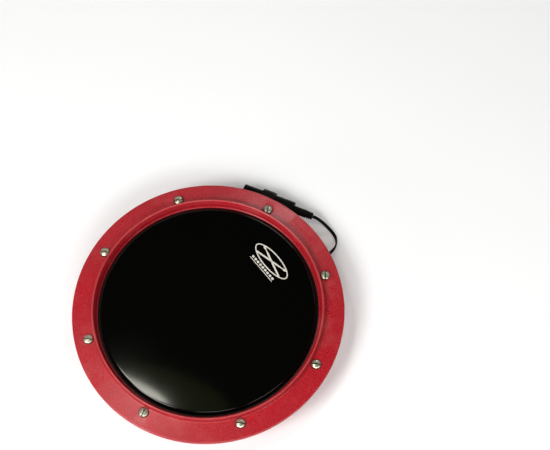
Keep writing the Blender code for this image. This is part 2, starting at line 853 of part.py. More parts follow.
def build_clip():
    """The clip that holds the barrel against the base's wall, extruded along X."""
    clip = extruded("jack_clip", clip_outline(), CLIP_REAR - CLIP_FRONT, BLACK_PLASTIC)
    clip.location = (CLIP_SCREW_X, JACK_Y, JACK_HEIGHT)
    # its outline's x is the pad's y, its y is the pad's z, and its thickness is along x
    clip.rotation_euler = (math.pi / 2.0, 0.0, math.pi / 2.0)
    bore_side = JACK_Y - JACK_RADIUS - CLEARANCE
    hole = rod_cutter(
        "clip_hole",
        (CLIP_SCREW_X, BASE_WALL_RADIUS - 0.004, JACK_HEIGHT),
        (CLIP_SCREW_X, JACK_Y, JACK_HEIGHT),
        CLIP_SCREW_RADIUS + CLEARANCE,
    )
    head_room = rod_cutter(
        "clip_head_room",
        (CLIP_SCREW_X, bore_side - 0.0020, JACK_HEIGHT),
        (CLIP_SCREW_X, JACK_Y, JACK_HEIGHT),
        CLIP_SCREW_HEAD_RADIUS + CLEARANCE,
    )
    boolean(clip, hole)
    boolean(clip, head_room)
    return clip


def build_clip_screw():
    """The small screw through the clip's stem into the wall, its head under the barrel."""
    head_top = JACK_Y - JACK_RADIUS - 2 * CLEARANCE
    head_bottom = head_top - 0.0014
    tip = BASE_FOOT_RADIUS - 0.0050
    profile = [
        (0.0, head_top),
        (CLIP_SCREW_HEAD_RADIUS - 0.0004, head_top),
        (CLIP_SCREW_HEAD_RADIUS, head_top - 0.0004),
        (CLIP_SCREW_HEAD_RADIUS, head_bottom),
        (CLIP_SCREW_RADIUS, head_bottom),
        (CLIP_SCREW_RADIUS, tip + 0.0012),
        (0.0003, tip),
        (0.0, tip),
    ]
    screw = turned("clip_screw", profile, NICKEL, SMALL_SEGMENTS, ring=False)
    screw.location = (CLIP_SCREW_X, 0.0, JACK_HEIGHT)
    screw.rotation_euler = (-math.pi / 2.0, 0.0, 0.0)
    return screw


# ---------------------------------------------------------------- the whole pad


def build_pad():
    build_base()
    build_foot_ring()
    build_stand_bush()
    build_inserts()
    build_board()
    build_foam()
    build_head()
    build_hoop()
    build_screws(build_rim())
    build_sensor_lead(build_sensor())
    build_grommet()
    build_trigger_lead()
    build_jack_bushing()
    build_jack_housing()
    build_jack_insulator()
    build_tip_contact()
    build_jack_boot()
    build_clip()
    build_clip_screw()


build_pad()
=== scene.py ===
"""A tunable drum practice pad, as fine meshes and procedural materials on its CAD frame.

Units are metres, +Z is up, the pad's axis is Z and the jack socket's axis runs along X.
"""

import math

import bmesh
import bpy
from mathutils import Matrix, Vector


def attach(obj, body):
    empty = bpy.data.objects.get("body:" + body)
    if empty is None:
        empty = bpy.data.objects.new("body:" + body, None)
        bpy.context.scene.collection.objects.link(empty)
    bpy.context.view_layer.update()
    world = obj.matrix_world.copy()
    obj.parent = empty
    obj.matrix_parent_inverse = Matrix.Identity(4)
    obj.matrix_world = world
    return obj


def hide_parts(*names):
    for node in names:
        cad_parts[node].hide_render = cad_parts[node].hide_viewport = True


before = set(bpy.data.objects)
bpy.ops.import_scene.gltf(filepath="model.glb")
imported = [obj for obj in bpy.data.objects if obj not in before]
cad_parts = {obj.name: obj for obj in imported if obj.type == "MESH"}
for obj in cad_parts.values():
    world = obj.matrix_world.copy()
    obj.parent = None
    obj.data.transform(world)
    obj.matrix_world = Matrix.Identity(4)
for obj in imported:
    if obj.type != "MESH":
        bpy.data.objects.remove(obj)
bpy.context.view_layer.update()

# -------------------- driving dimensions
SEGMENTS = 192  # flat sides in a full turn of a large round piece
SMALL_SEGMENTS = 48  # of a small one
FINE_SEGMENTS = 32  # and of the smallest
ROUND_SEGMENTS = 64  # of the jack and the sensor
CLEARANCE = 0.0003  # between two pieces that touch
PAST = 0.001  # how far a cutter or a joined post reaches past a surface

RIM_RADIUS = 0.127
RIM_CREST = 0.0432
RIM_SKIRT_BOTTOM = 0.0306
BEAD_INNER_RADIUS = 0.106
BEAD_OUTER_RADIUS = 0.1076
FLANGE_INNER = (0.1085, 0.0364)
FLANGE_EDGE_HEIGHT = 0.0346
FLANGE_THICKNESS = 0.0028
RIM_FOOT_RADIUS = 0.103
RIM_FOOT_TOP = 0.0342
RIM_FOOT_BOTTOM = 0.0318
RIM_SKIRT_WALL = 0.0022
RIM_WALL_BEND = (0.0017, 0.0045)  # the bead's inner wall bends this far in and this far down

HEAD_RADIUS = 0.1002
HEAD_FLAT_RADIUS = 0.0984
HEAD_EDGE_HEIGHT = 0.0367
HEAD_CROWN = 0.0022
HEAD_BEND = 0.0018
HEAD_SKIRT_BOTTOM = 0.0296
FILM_THICKNESS = 0.0004
HOOP_TOP = RIM_FOOT_BOTTOM - CLEARANCE
HOOP_BOTTOM = 0.0283
HOOP_OUTER_RADIUS = 0.105

BASE_BOTTOM = 0.003
BASE_FLOOR = 0.0065
BASE_TOP = 0.03
BASE_FOOT_RADIUS = 0.1187
BASE_WALL_RADIUS = 0.12
BASE_LIP_RADIUS = 0.1215
BASE_LIP_BOTTOM = 0.0272
BASE_WALL = 0.0026
BEARING_OUTER_RADIUS = 0.0995
BEARING_INNER_RADIUS = 0.0966
BEARING_TOP = 0.0361
LEDGE_RADIUS = 0.0925
LEDGE_HEIGHT = 0.0205
FOOT_OUTER_RADIUS = 0.1095
FOOT_INNER_RADIUS = 0.0985
FOOT_TOP = 0.0042

SCREW_COUNT = 8
SCREW_CIRCLE_RADIUS = 0.1138
FIRST_SCREW_ANGLE = math.radians(38.3)
SCREW_HEAD_RADIUS = 0.00455
SCREW_HEAD_HEIGHT = 0.0027
SCREW_SHANK_RADIUS = 0.0023
SCREW_LENGTH = 0.019
SCREW_SEAT_HEIGHT = 0.0355
THREAD_PITCH = 0.0254 / 24.0
THREAD_ROWS = 6  # rows of points to one pitch
RIDGE_HALF_WIDTH = 0.42  # of a thread's ridge, as a share of the pitch
SLOT_WIDTH = 0.0011
SLOT_DEPTH = 0.0013
SLOT_ANGLES = [math.radians(a) for a in (109, 96, 30, 13, 14, 87, 12, 14)]
INSERT_RADIUS = 0.0034
INSERT_BORE = 0.0027
INSERT_LENGTH = 0.012
INSERT_TOP = BASE_TOP - 0.0002
BOSS_RADIUS = 0.0046

STAND_BUSH_RADIUS = 0.0065
STAND_BORE = 0.0034
STAND_BUSH_LENGTH = 0.0115
STAND_BOSS_RADIUS = 0.011

BOARD_THICKNESS = 0.003
FOAM_BOTTOM = LEDGE_HEIGHT + BOARD_THICKNESS + 2 * CLEARANCE
PIEZO_DISTANCE = 0.045
PIEZO_RADIUS = 0.0135
CERAMIC_RADIUS = 0.01
LEAD_ANGLE = math.radians(50.5)
LEAD_HEIGHT = 0.012
INNER_LEAD_RADIUS = 0.0011
GROMMET_TIP = 0.1225
GROMMET_INNER_END = 0.1122
GROMMET_NECK = 0.0034

JACK_Y = 0.1322
JACK_HEIGHT = 0.0145
JACK_RADIUS = 0.00715
JACK_FRONT = -0.0209
JACK_REAR = 0.0323
BOOT_REAR = 0.0532
BOOT_NECK = 0.0027
PLUG_BORE = 0.0033
CLIP_FRONT = -0.0015
CLIP_REAR = 0.0116
CLIP_RADIUS = 0.00935
CLIP_SCREW_X = (CLIP_FRONT + CLIP_REAR) / 2.0
CLIP_SCREW_RADIUS = 0.0014
CLIP_SCREW_HEAD_RADIUS = 0.0026
BUSHING_LENGTH = 0.0125
INSULATOR_LENGTH = 0.0028
LEAD_WIDTH = 0.0033
LEAD_THICKNESS = 0.0017
LEAD_NOSE = LEAD_WIDTH / 2.0 + 0.0006  # radius of the grommet's and the boot's tip

# -------------------- materials


def set_range(node, *numbers):
    for name, number in zip(("From Min", "From Max", "To Min", "To Max"), numbers):
        node.inputs[name].default_value = number


class Nodes:
    """Small helper that adds and joins shader nodes."""

    def __init__(self, name):
        self.material = bpy.data.materials.new(name)
        self.material.use_nodes = True
        self.tree = self.material.node_tree
        self.shader = self.tree.nodes["Principled BSDF"]
        coordinates = self.tree.nodes.new("ShaderNodeTexCoord")
        self.place = coordinates.outputs["Object"]

    def link(self, output, socket):
        self.tree.links.new(output, socket)

    def set(self, **values):
        for name, value in values.items():
            self.shader.inputs[name.replace("_", " ")].default_value = value

    def noise(self, size, detail=3.0, roughness=0.55):
        node = self.tree.nodes.new("ShaderNodeTexNoise")
        node.inputs["Scale"].default_value = 1.0 / size
        node.inputs["Detail"].default_value = detail
        node.inputs["Roughness"].default_value = roughness
        self.link(self.place, node.inputs["Vector"])
        return node.outputs["Fac"]

    def cells(self, size):
        node = self.tree.nodes.new("ShaderNodeTexVoronoi")
        node.feature = "SMOOTH_F1"
        node.inputs["Scale"].default_value = 1.0 / size
        self.link(self.place, node.inputs["Vector"])
        return node.outputs["Distance"]

    def spread(self, value, low, high, to_low, to_high, smooth=False):
        node = self.tree.nodes.new("ShaderNodeMapRange")
        node.interpolation_type = "SMOOTHSTEP" if smooth else "LINEAR"
        node.clamp = True
        set_range(node, low, high, to_low, to_high)
        self.link(value, node.inputs["Value"])
        return node.outputs["Result"]

    def maths(self, operation, a, b=0.0):
        node = self.tree.nodes.new("ShaderNodeMath")
        node.operation = operation
        for socket, value in zip(node.inputs, (a, b)):
            if isinstance(value, float):
                socket.default_value = value
            else:
                self.link(value, socket)
        return node.outputs["Value"]

    def mixed(self, share, a, b):
        """Colour a at share 0 and colour b at share 1. Each is a colour or an output."""
        node = self.tree.nodes.new("ShaderNodeMix")
        node.data_type = "RGBA"
        self.link(share, node.inputs["Factor"])
        for socket, value in ((node.inputs[6], a), (node.inputs[7], b)):
            if isinstance(value, tuple):
                socket.default_value = (*value, 1.0)
            else:
                self.link(value, socket)
        return node.outputs[2]

    def mottled(self, noise, a, b):
        """Colour a where a noise is low and colour b where it is high."""
        return self.mixed(self.spread(noise, 0.35, 0.65, 0.0, 1.0), a, b)

    def axis(self, which):
        node = self.tree.nodes.new("ShaderNodeSeparateXYZ")
        self.link(self.place, node.inputs["Vector"])
        return node.outputs[which]

    def bump(self, height, distance, strength=1.0):
        node = self.tree.nodes.new("ShaderNodeBump")
        node.inputs["Strength"].default_value = strength
        node.inputs["Distance"].default_value = distance
        self.link(height, node.inputs["Height"])
        self.link(node.outputs["Normal"], self.shader.inputs["Normal"])

    def colour(self, output):
        self.link(output, self.shader.inputs["Base Color"])

    def roughness(self, output):
        self.link(output, self.shader.inputs["Roughness"])


def moulded(name, light, dark, rough, grain=0.0007, depth=0.00003, gloss=0.5):
    """Moulded plastic or rubber: faint colour patches, fine speckle and a pebbled skin."""
    m = Nodes(name)
    m.set(Specular_IOR_Level=gloss)
    patches = m.noise(0.02, 2.0)
    speckle = m.noise(grain, 2.0)
    shade = m.maths("ADD", m.maths("MULTIPLY", patches, 0.6), m.maths("MULTIPLY", speckle, 0.4))
    m.colour(m.mottled(shade, light, dark))
    m.roughness(m.spread(m.maths("ADD", patches, speckle), 0.7, 1.3, *rough))
    m.bump(m.cells(grain * 1.6), depth)
    return m.material


def metal(name, light, dark, rough, metallic=1.0):
    """Plain or plated metal with fine scratches and a mottled polish."""
    m = Nodes(name)
    m.set(Metallic=metallic)
    scratch = 0.0006
    streaks = m.noise(scratch, 3.0, 0.6)
    mottle = m.noise(scratch * 6.0, 2.0)
    m.colour(m.mottled(mottle, light, dark))
    m.roughness(m.spread(m.maths("ADD", streaks, mottle), 0.7, 1.3, *rough))
    m.bump(streaks, 0.000004)
    return m


def red_plastic():
    """Red plastic, faintly scuffed, with a painted highlight in places along the bead's crest."""
    m = Nodes("red_moulded_plastic")
    patches = m.noise(0.022, 2.0)
    speckle = m.noise(0.0013, 2.0, 0.6)
    scuffs = m.noise(0.03, 5.0, 0.62)
    tint = m.mottled(patches, (0.425, 0.0085, 0.0165), (0.375, 0.007, 0.014))
    tint = m.mixed(m.spread(speckle, 0.42, 0.64, 0.0, 0.6), tint, (0.5, 0.034, 0.044))
    tint = m.mixed(m.spread(scuffs, 0.52, 0.68, 0.0, 0.18), tint, (0.66, 0.17, 0.16))
    # painted highlight: a pale, patchy line along the top of the bead's crest
    crest = m.spread(m.axis("Z"), RIM_CREST - 0.0007, RIM_CREST - 0.0001, 0.0, 0.18, True)
    crest_highlight = m.maths("MULTIPLY", crest, m.spread(m.noise(0.01, 4.0), 0.3, 0.62, 0.45, 1.0))
    m.colour(m.mixed(crest_highlight, tint, (0.78, 0.22, 0.2)))
    m.roughness(m.spread(m.maths("ADD", patches, speckle), 0.75, 1.25, 0.26, 0.34))
    m.bump(m.cells(0.0011), 0.00004, 0.6)
    return m.material


def head_film():
    """Glossy black film with a slight haze."""
    m = Nodes("head_film_black")
    m.set(Specular_IOR_Level=0.35)
    haze = m.noise(0.035, 3.0)
    fine = m.noise(0.0005, 2.0)
    m.colour(m.mottled(fine, (0.0012, 0.0012, 0.001), (0.0018, 0.0018, 0.0015)))
    cloud = m.maths("ADD", haze, m.maths("MULTIPLY", fine, 0.3))
    m.roughness(m.spread(cloud, 0.45, 0.85, 0.075, 0.1))
    m.bump(m.noise(0.0012, 2.0), 0.000004, 0.5)
    return m.material


def print_ink():
    m = Nodes("printed_ink")
    grain = m.noise(0.0008, 3.0)
    m.colour(m.mottled(grain, (0.78, 0.74, 0.66), (0.68, 0.64, 0.55)))
    m.roughness(m.spread(grain, 0.3, 0.7, 0.45, 0.6))
    return m.material


RED = red_plastic()
FILM = head_film()
INK = print_ink()
SCREW_TOP = SCREW_SEAT_HEIGHT + CLEARANCE + SCREW_HEAD_HEIGHT


def screw_nickel():
    """Dull nickel plate, with painted shade low in the slot and round the foot of the head."""
    m = metal("nickel_plate", (0.64, 0.6, 0.46), (0.48, 0.46, 0.35), (0.24, 0.4), 0.75)
    plate = m.shader.inputs["Base Color"].links[0].from_socket
    # painted shade: the plate turns near black below the slot's upper part and round the head's foot
    out_of_shade = m.spread(m.axis("Z"), SCREW_TOP - 0.0013, SCREW_TOP - 0.0009, 0.0, 1.0, True)
    m.colour(m.mixed(out_of_shade, (0.06, 0.056, 0.042), plate))
    return m.material


NICKEL = screw_nickel()
BRASS = metal("turned_brass", (0.76, 0.56, 0.22), (0.62, 0.43, 0.16), (0.22, 0.42)).material
HOOP = moulded(
    "hoop_black_lacquer", (0.007,) * 3, (0.004,) * 3, (0.4, 0.55), grain=0.0005, depth=0.00001, gloss=0.2
)
RUBBER = moulded("black_rubber", (0.026, 0.026, 0.027), (0.014, 0.014, 0.015), (0.62, 0.85))
BLACK = moulded(
    "black_moulded_plastic",
    (0.0052, 0.0054, 0.004),
    (0.0024, 0.0025, 0.0018),
    (0.34, 0.48),
    grain=0.0006,
    gloss=0.07,
)
OLIVE = moulded(
    "clip_plastic",
    (0.008, 0.0086, 0.0054),
    (0.004, 0.0044, 0.0026),
    (0.32, 0.46),
    grain=0.0006,
    gloss=0.11,
)
CORD = moulded("cord_jacket", (0.005, 0.005, 0.0045), (0.0025, 0.0025, 0.0024), (0.34, 0.48), gloss=0.1)
FOAM = moulded(
    "open_foam", (0.13, 0.13, 0.14), (0.055, 0.055, 0.06), (0.9, 1.0), grain=0.0014, depth=0.0006
)
BOARD = moulded(
    "pressed_board", (0.36, 0.24, 0.14), (0.24, 0.15, 0.085), (0.72, 0.92), grain=0.0012, depth=0.0001
)
CERAMIC = moulded("piezo_ceramic", (0.82, 0.8, 0.74), (0.7, 0.68, 0.61), (0.35, 0.55), grain=0.0005)

# -------------------- mesh helpers

SHARP = 32.0  # an edge that turns by more degrees than this is drawn sharp


def rounded(corners, steps=5, closed=True):
    """Points of an outline. A corner (x, y, radius) with a radius becomes an arc."""
    points = []
    last = len(corners) - 1
    for i, corner in enumerate(corners):
        here = Vector(corner[:2])
        radius = corner[2] if len(corner) > 2 else 0.0
        if radius <= 0.0 or (not closed and i in (0, last)):
            points.append(here)
            continue
        before = (Vector(corners[i - 1][:2]) - here).normalized()
        after = (Vector(corners[(i + 1) % len(corners)][:2]) - here).normalized()
        half_angle = before.angle(after) / 2.0
        middle = (before + after).normalized()
        centre = here + middle * (radius / math.sin(half_angle))
        start = here + before * (radius / math.tan(half_angle)) - centre
        end = here + after * (radius / math.tan(half_angle)) - centre
        swing = start.angle_signed(end)
        for k in range(steps + 1):
            points.append(centre + Matrix.Rotation(-swing * k / steps, 2) @ start)
    return points


def on_circle(radius, angle):
    return (radius * math.cos(angle), radius * math.sin(angle))


def plain_ring(work, radius, height, segments):
    """A ring of vertices about Z. At radius 0 it is one vertex, many times over."""
    if radius == 0.0:
        return [work.verts.new((0.0, 0.0, height))] * segments
    turns = [math.tau * k / segments for k in range(segments)]
    return [work.verts.new((*on_circle(radius, turn), height)) for turn in turns]


def joined_rings(work, rings, closed=False):
    """Adds the faces between each ring of vertices and the next."""
    pairs = list(zip(rings, rings[1:]))
    if closed:
        pairs.append((rings[-1], rings[0]))
    for low, high in pairs:
        for k in range(len(low)):
            after = (k + 1) % len(low)
            corners = dict.fromkeys((low[k], low[after], high[after], high[k]))
            if len(corners) > 2:
                work.faces.new(list(corners))


def revolve(work, profile, segments, closed):
    """Adds a (radius, height) profile, turned about Z, to a bmesh."""
    rings = [plain_ring(work, radius, height, segments) for radius, height in profile]
    joined_rings(work, rings, closed)


def smoothed(mesh, sharp=SHARP):
    """Shades a mesh smooth, apart from its sharp edges."""
    mesh.shade_smooth()
    mesh.set_sharp_from_angle(angle=math.radians(sharp))
    return mesh


def finished(work, sharp=SHARP):
    """A mesh from a bmesh, its faces outward and its gentle edges smooth."""
    bmesh.ops.recalc_face_normals(work, faces=work.faces)
    mesh = bpy.data.meshes.new("mesh")
    work.to_mesh(mesh)
    work.free()
    return smoothed(mesh, sharp)


def turned_mesh(profile, segments=SEGMENTS, closed=True, sharp=SHARP):
    work = bmesh.new()
    revolve(work, profile, segments, closed)
    return finished(work, sharp)


def new_object(name, data):
    obj = bpy.data.objects.new(name, data)
    bpy.context.scene.collection.objects.link(obj)
    return obj


def piece(name, mesh, material, body, replaces=()):
    """A shown piece that rides on a body and stands for the named CAD nodes."""
    obj = new_object(name, mesh)
    mesh.name = name
    mesh.materials.clear()
    mesh.materials.append(material)
    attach(obj, body)
    if replaces:
        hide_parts(*replaces)
    return obj


def turned_piece(
    name, outline, material, node, steps=5, closed=True, segments=SEGMENTS, sharp=SHARP, place=None
):
    """A piece of the base, turned from an outline and moved to its place."""
    mesh = turned_mesh(rounded(outline, steps, closed), segments, closed, sharp)
    if place:
        mesh.transform(place)
    return piece(name, mesh, material, "base", [node])


def cut(mesh, cutter, operation="DIFFERENCE"):
    """A new mesh: the first less the second, or the two joined."""
    first, second = new_object("first", mesh), new_object("second", cutter)
    step = first.modifiers.new("cut", "BOOLEAN")
    step.operation = operation
    step.solver = "EXACT"
    step.object = second
    bpy.context.view_layer.update()
    graph = bpy.context.evaluated_depsgraph_get()
    made = bpy.data.meshes.new_from_object(first.evaluated_get(graph))
    for obj in (first, second):
        bpy.data.objects.remove(obj, do_unlink=True)
    return smoothed(made)


def moved(mesh, matrix):
    mesh.transform(matrix)
    return mesh


def screw_angles():
    return [FIRST_SCREW_ANGLE + math.tau * i / SCREW_COUNT for i in range(SCREW_COUNT)]


def screw_places():
    return [on_circle(SCREW_CIRCLE_RADIUS, angle) for angle in screw_angles()]


def round_cutters(places, profile):
    """A cutter or post, turned from a profile, at each of several places."""
    work = bmesh.new()
    for x, y in places:
        first = len(work.verts)
        revolve(work, profile, SMALL_SEGMENTS, False)
        work.verts.ensure_lookup_table()
        bmesh.ops.translate(work, verts=work.verts[first:], vec=(x, y, 0.0))
    return finished(work)


def post(radius, bottom, top, bevel=0.0):
    """Profile of a solid post, with an optional bevel round its top."""
    return [
        (0.0, bottom),
        (radius, bottom),
        *([(radius, top - bevel), (radius - bevel, top)] if bevel else [(radius, top)]),
        (0.0, top),
    ]


def rod(start, end, radius):
    """A round cutter from one point to another."""
    start, end = Vector(start), Vector(end)
    mesh = turned_mesh(post(radius, 0.0, (end - start).length), FINE_SEGMENTS, False)
    turn = (end - start).to_track_quat("Z", "Y").to_matrix().to_4x4()
    return moved(mesh, Matrix.Translation(start) @ turn)


def head_height(radius):
    """Height of the film's top at a distance from the pad's axis."""
    return HEAD_EDGE_HEIGHT + HEAD_CROWN * (1.0 - (radius / HEAD_FLAT_RADIUS) ** 3)


# -------------------- base


def base_profile():
    """The pan's section: floor, ledge, bearing ring, outer wall with its lip, foot's groove."""
    corners = [
        (0.0, BASE_FLOOR),
        (LEDGE_RADIUS, BASE_FLOOR),
        (LEDGE_RADIUS, LEDGE_HEIGHT, 0.0004),
        (BEARING_INNER_RADIUS, LEDGE_HEIGHT),
        (BEARING_INNER_RADIUS, BEARING_TOP, 0.0008),
        (BEARING_OUTER_RADIUS, BEARING_TOP, 0.0014),
        (BEARING_OUTER_RADIUS, BASE_FLOOR, 0.001),
        (BASE_FOOT_RADIUS - BASE_WALL, BASE_FLOOR, 0.001),
        (BASE_WALL_RADIUS - BASE_WALL, BASE_TOP, 0.0004),
        (BASE_LIP_RADIUS, BASE_TOP, 0.0006),
        (BASE_LIP_RADIUS, BASE_LIP_BOTTOM, 0.0006),
        (BASE_WALL_RADIUS, BASE_LIP_BOTTOM - 0.0008, 0.0004),
        (BASE_FOOT_RADIUS, BASE_BOTTOM, 0.0015),
        (FOOT_OUTER_RADIUS + CLEARANCE, BASE_BOTTOM),
        (FOOT_OUTER_RADIUS + CLEARANCE, FOOT_TOP + CLEARANCE),
        (FOOT_INNER_RADIUS - CLEARANCE, FOOT_TOP + CLEARANCE),
        (FOOT_INNER_RADIUS - CLEARANCE, BASE_BOTTOM),
        (0.0, BASE_BOTTOM),
    ]
    return rounded(corners, closed=False)


def ribs():
    """One upright rib from the bearing ring to each screw's boss."""
    inner, outer = BEARING_OUTER_RADIUS - PAST, SCREW_CIRCLE_RADIUS
    bottom, top = BASE_FLOOR - PAST, 0.0235
    thickness = 0.0024
    work = bmesh.new()
    for angle in screw_angles():
        middle = Matrix.Translation(((inner + outer) / 2.0, 0.0, (bottom + top) / 2.0))
        size = Matrix.Diagonal((outer - inner, thickness, top - bottom, 1.0))
        bmesh.ops.create_cube(work, size=1.0, matrix=Matrix.Rotation(angle, 4, "Z") @ middle @ size)
    return finished(work)


def build_base():
    mesh = turned_mesh(base_profile(), closed=False)
    inside = BASE_FLOOR - PAST
    bosses = round_cutters(screw_places(), post(BOSS_RADIUS, inside, BASE_TOP, 0.0003))
    mesh = cut(mesh, bosses, "UNION")
    mesh = cut(mesh, ribs(), "UNION")
    stand = round_cutters([(0.0, 0.0)], post(STAND_BOSS_RADIUS, inside, LEDGE_HEIGHT, 0.0005))
    mesh = cut(mesh, stand, "UNION")
    hole_bottom = BASE_TOP - INSERT_LENGTH - 0.0035
    hole = post(INSERT_RADIUS + CLEARANCE, hole_bottom, BASE_TOP + PAST)
    mesh = cut(mesh, round_cutters(screw_places(), hole))
    bush_top = BASE_BOTTOM + STAND_BUSH_LENGTH + 0.0008
    bush = post(STAND_BUSH_RADIUS + CLEARANCE, BASE_BOTTOM - PAST, bush_top)
    mesh = cut(mesh, round_cutters([(0.0, 0.0)], bush))
    for inner, outer, radius in (
        (LEDGE_RADIUS, BEARING_OUTER_RADIUS, INNER_LEAD_RADIUS + 0.0006),
        (BASE_FOOT_RADIUS - BASE_WALL, BASE_WALL_RADIUS, GROMMET_NECK + CLEARANCE),
    ):
        start = (*on_circle(inner - 2 * PAST, LEAD_ANGLE), LEAD_HEIGHT)
        end = (*on_circle(outer + 2 * PAST, LEAD_ANGLE), LEAD_HEIGHT)
        mesh = cut(mesh, rod(start, end, radius))
    clip_hole = rod(
        (CLIP_SCREW_X, BASE_FOOT_RADIUS - 6 * PAST, JACK_HEIGHT),
        (CLIP_SCREW_X, BASE_WALL_RADIUS + 2 * PAST, JACK_HEIGHT),
        CLIP_SCREW_RADIUS + CLEARANCE,
    )
    mesh = cut(mesh, clip_hole)
    piece("base_pan", mesh, RED, "base", ["base_shell"])


def build_foot_ring():
    """Rubber ring with three fine grooves round its underside."""
    low = []
    grooves, half_width, depth = 3, 0.0009, 0.0008
    gap = (FOOT_OUTER_RADIUS - FOOT_INNER_RADIUS) / (grooves + 1)
    for k in range(grooves, 0, -1):
        middle = FOOT_INNER_RADIUS + k * gap
        low += [
            (middle + half_width, 0.0),
            (middle + half_width / 2.0, depth),
            (middle - half_width / 2.0, depth),
            (middle - half_width, 0.0),
        ]
    outline = [
        (FOOT_INNER_RADIUS, FOOT_TOP),
        (FOOT_OUTER_RADIUS, FOOT_TOP),
        (FOOT_OUTER_RADIUS, 0.0, 0.0008),
        *low,
        (FOOT_INNER_RADIUS, 0.0, 0.0008),
    ]
    turned_piece("rubber_foot", outline, RUBBER, "foot_ring")


def thread_ring(work, radius_at, height, segments):
    """A ring of a threaded wall. The ridge is 0 in the thread's root and 1 on its crest."""
    ring = []
    for k in range(segments):
        phase = (height / THREAD_PITCH - k / segments) % 1.0
        ridge = max(0.0, 1.0 - abs(phase - 0.5) / RIDGE_HALF_WIDTH)
        turn = math.tau * k / segments
        ring.append(work.verts.new((*on_circle(radius_at(ridge), turn), height)))
    return ring


def insert_mesh():
    """Brass insert: chamfered mouth, internal thread, ringed outside."""
    segments = FINE_SEGMENTS
    top, bottom = INSERT_TOP, INSERT_TOP - INSERT_LENGTH
    work = bmesh.new()
    rings = []
    bore_top, bore_bottom = top - 0.0004, bottom + 0.0004
    rows = int(round((bore_top - bore_bottom) / THREAD_PITCH * THREAD_ROWS))
    for i in range(rows + 1):
        height = bore_bottom + (bore_top - bore_bottom) * i / rows
        rings.append(thread_ring(work, lambda ridge: INSERT_BORE - 0.00018 * ridge, height, segments))
    outline = [
        (INSERT_BORE + 0.0003, top),
        (INSERT_RADIUS - 0.0001, top),
        (INSERT_RADIUS, top - 0.0001),
    ]
    for k in range(3):
        groove = top - 0.002 - k * 0.0038
        outline += [
            (INSERT_RADIUS, groove),
            (INSERT_RADIUS - 0.0004, groove - 0.0003),
            (INSERT_RADIUS - 0.0004, groove - 0.0011),
            (INSERT_RADIUS, groove - 0.0014),
        ]
    outline += [(INSERT_RADIUS, bottom), (INSERT_BORE + 0.0002, bottom)]
    rings += [plain_ring(work, radius, height, segments) for radius, height in outline]
    joined_rings(work, rings, True)
    return finished(work, 40.0)


def build_inserts():
    mesh = insert_mesh()
    for i, (x, y) in enumerate(screw_places(), start=1):
        own = moved(mesh.copy(), Matrix.Translation((x, y, 0.0)))
        piece(f"brass_insert_{i}", own, BRASS, "base", [f"threaded_insert_{i}"])


def build_stand_bush():
    """Brass bush with grooves for a thread in its bore."""
    bottom = BASE_BOTTOM + 0.0002
    top = bottom + STAND_BUSH_LENGTH
    bevel = 0.0006
    grooves = []
    for k in range(7):
        height = bottom + 0.0016 + k * 0.00125
        grooves += [
            (STAND_BORE, height - 0.0003),
            (STAND_BORE + 0.0004, height),
            (STAND_BORE, height + 0.0003),
        ]
    profile = [
        *grooves,
        (STAND_BORE, top),
        (STAND_BUSH_RADIUS - bevel, top),
        (STAND_BUSH_RADIUS, top - bevel),
        (STAND_BUSH_RADIUS, bottom + 0.0002),
        (STAND_BUSH_RADIUS - 0.0002, bottom),
        (STAND_BORE + bevel, bottom),
        (STAND_BORE, bottom + bevel),
    ]
    mesh = turned_mesh(profile, SMALL_SEGMENTS)
    piece("stand_bush_metal", mesh, BRASS, "base", ["stand_bush"])


# -------------------- head


def build_film():
    """The film as one thin closed shell: low crown, bend over the bearing ring, collar."""
    bend_start = 0.0975
    shares = [0.0, 0.12, 0.25, 0.37, 0.5, 0.62, 0.72, 0.8, 0.87, 0.93, 0.97]
    crown = [(bend_start * share, head_height(bend_start * share)) for share in shares]
    slope = -3.0 * HEAD_CROWN * bend_start**2 / HEAD_FLAT_RADIUS**3
    edge = head_height(bend_start) + slope * (HEAD_RADIUS - bend_start)

    def bend(inset):
        corners = [
            (bend_start, head_height(bend_start) - inset),
            (HEAD_RADIUS - inset, edge - inset, HEAD_BEND - inset),
            (HEAD_RADIUS - inset, HEAD_SKIRT_BOTTOM),
        ]
        return rounded(corners, 10, closed=False)

    under = [(radius, height - FILM_THICKNESS) for radius, height in crown]
    profile = [*crown, *bend(0.0), *reversed(bend(FILM_THICKNESS)), *reversed(under)]
    mesh = turned_mesh(profile, SEGMENTS, False, 45.0)
    piece("head_film", mesh, FILM, "base", ["drumhead"])


def build_hoop():
    inner = HEAD_RADIUS + 0.0005
    outline = [
        (inner, HOOP_TOP, 0.0005),
        (HOOP_OUTER_RADIUS, HOOP_TOP, 0.0008),
        (HOOP_OUTER_RADIUS, HOOP_BOTTOM, 0.0008),
        (inner, HOOP_BOTTOM, 0.0005),
    ]
    turned_piece("hoop_band", outline, HOOP, "flesh_hoop")


def build_board():
    radius = BEARING_INNER_RADIUS - 0.0005
    bottom = LEDGE_HEIGHT + CLEARANCE
    outline = [
        (0.0, bottom + BOARD_THICKNESS),
        (radius, bottom + BOARD_THICKNESS, 0.0003),
        (radius, bottom, 0.0003),
        (0.0, bottom),
    ]
    turned_piece("carrier_board", outline, BOARD, "backing_board", 2, False)


def build_foam():
    gap = FILM_THICKNESS + CLEARANCE + 0.0001
    edge = BEARING_INNER_RADIUS - 0.001
    shares = (0.0, 0.2, 0.4, 0.6, 0.75, 0.88)
    top = [(edge * share, head_height(edge * share) - gap) for share in shares]
    outline = [
        *top,
        (edge, head_height(edge) - gap, 0.0018),
        (edge, FOAM_BOTTOM, 0.0008),
        (0.0, FOAM_BOTTOM),
    ]
    foam = turned_piece("foam_cushion", outline, FOAM, "foam_disc", 4, False, sharp=50.0)


# -------------------- rim


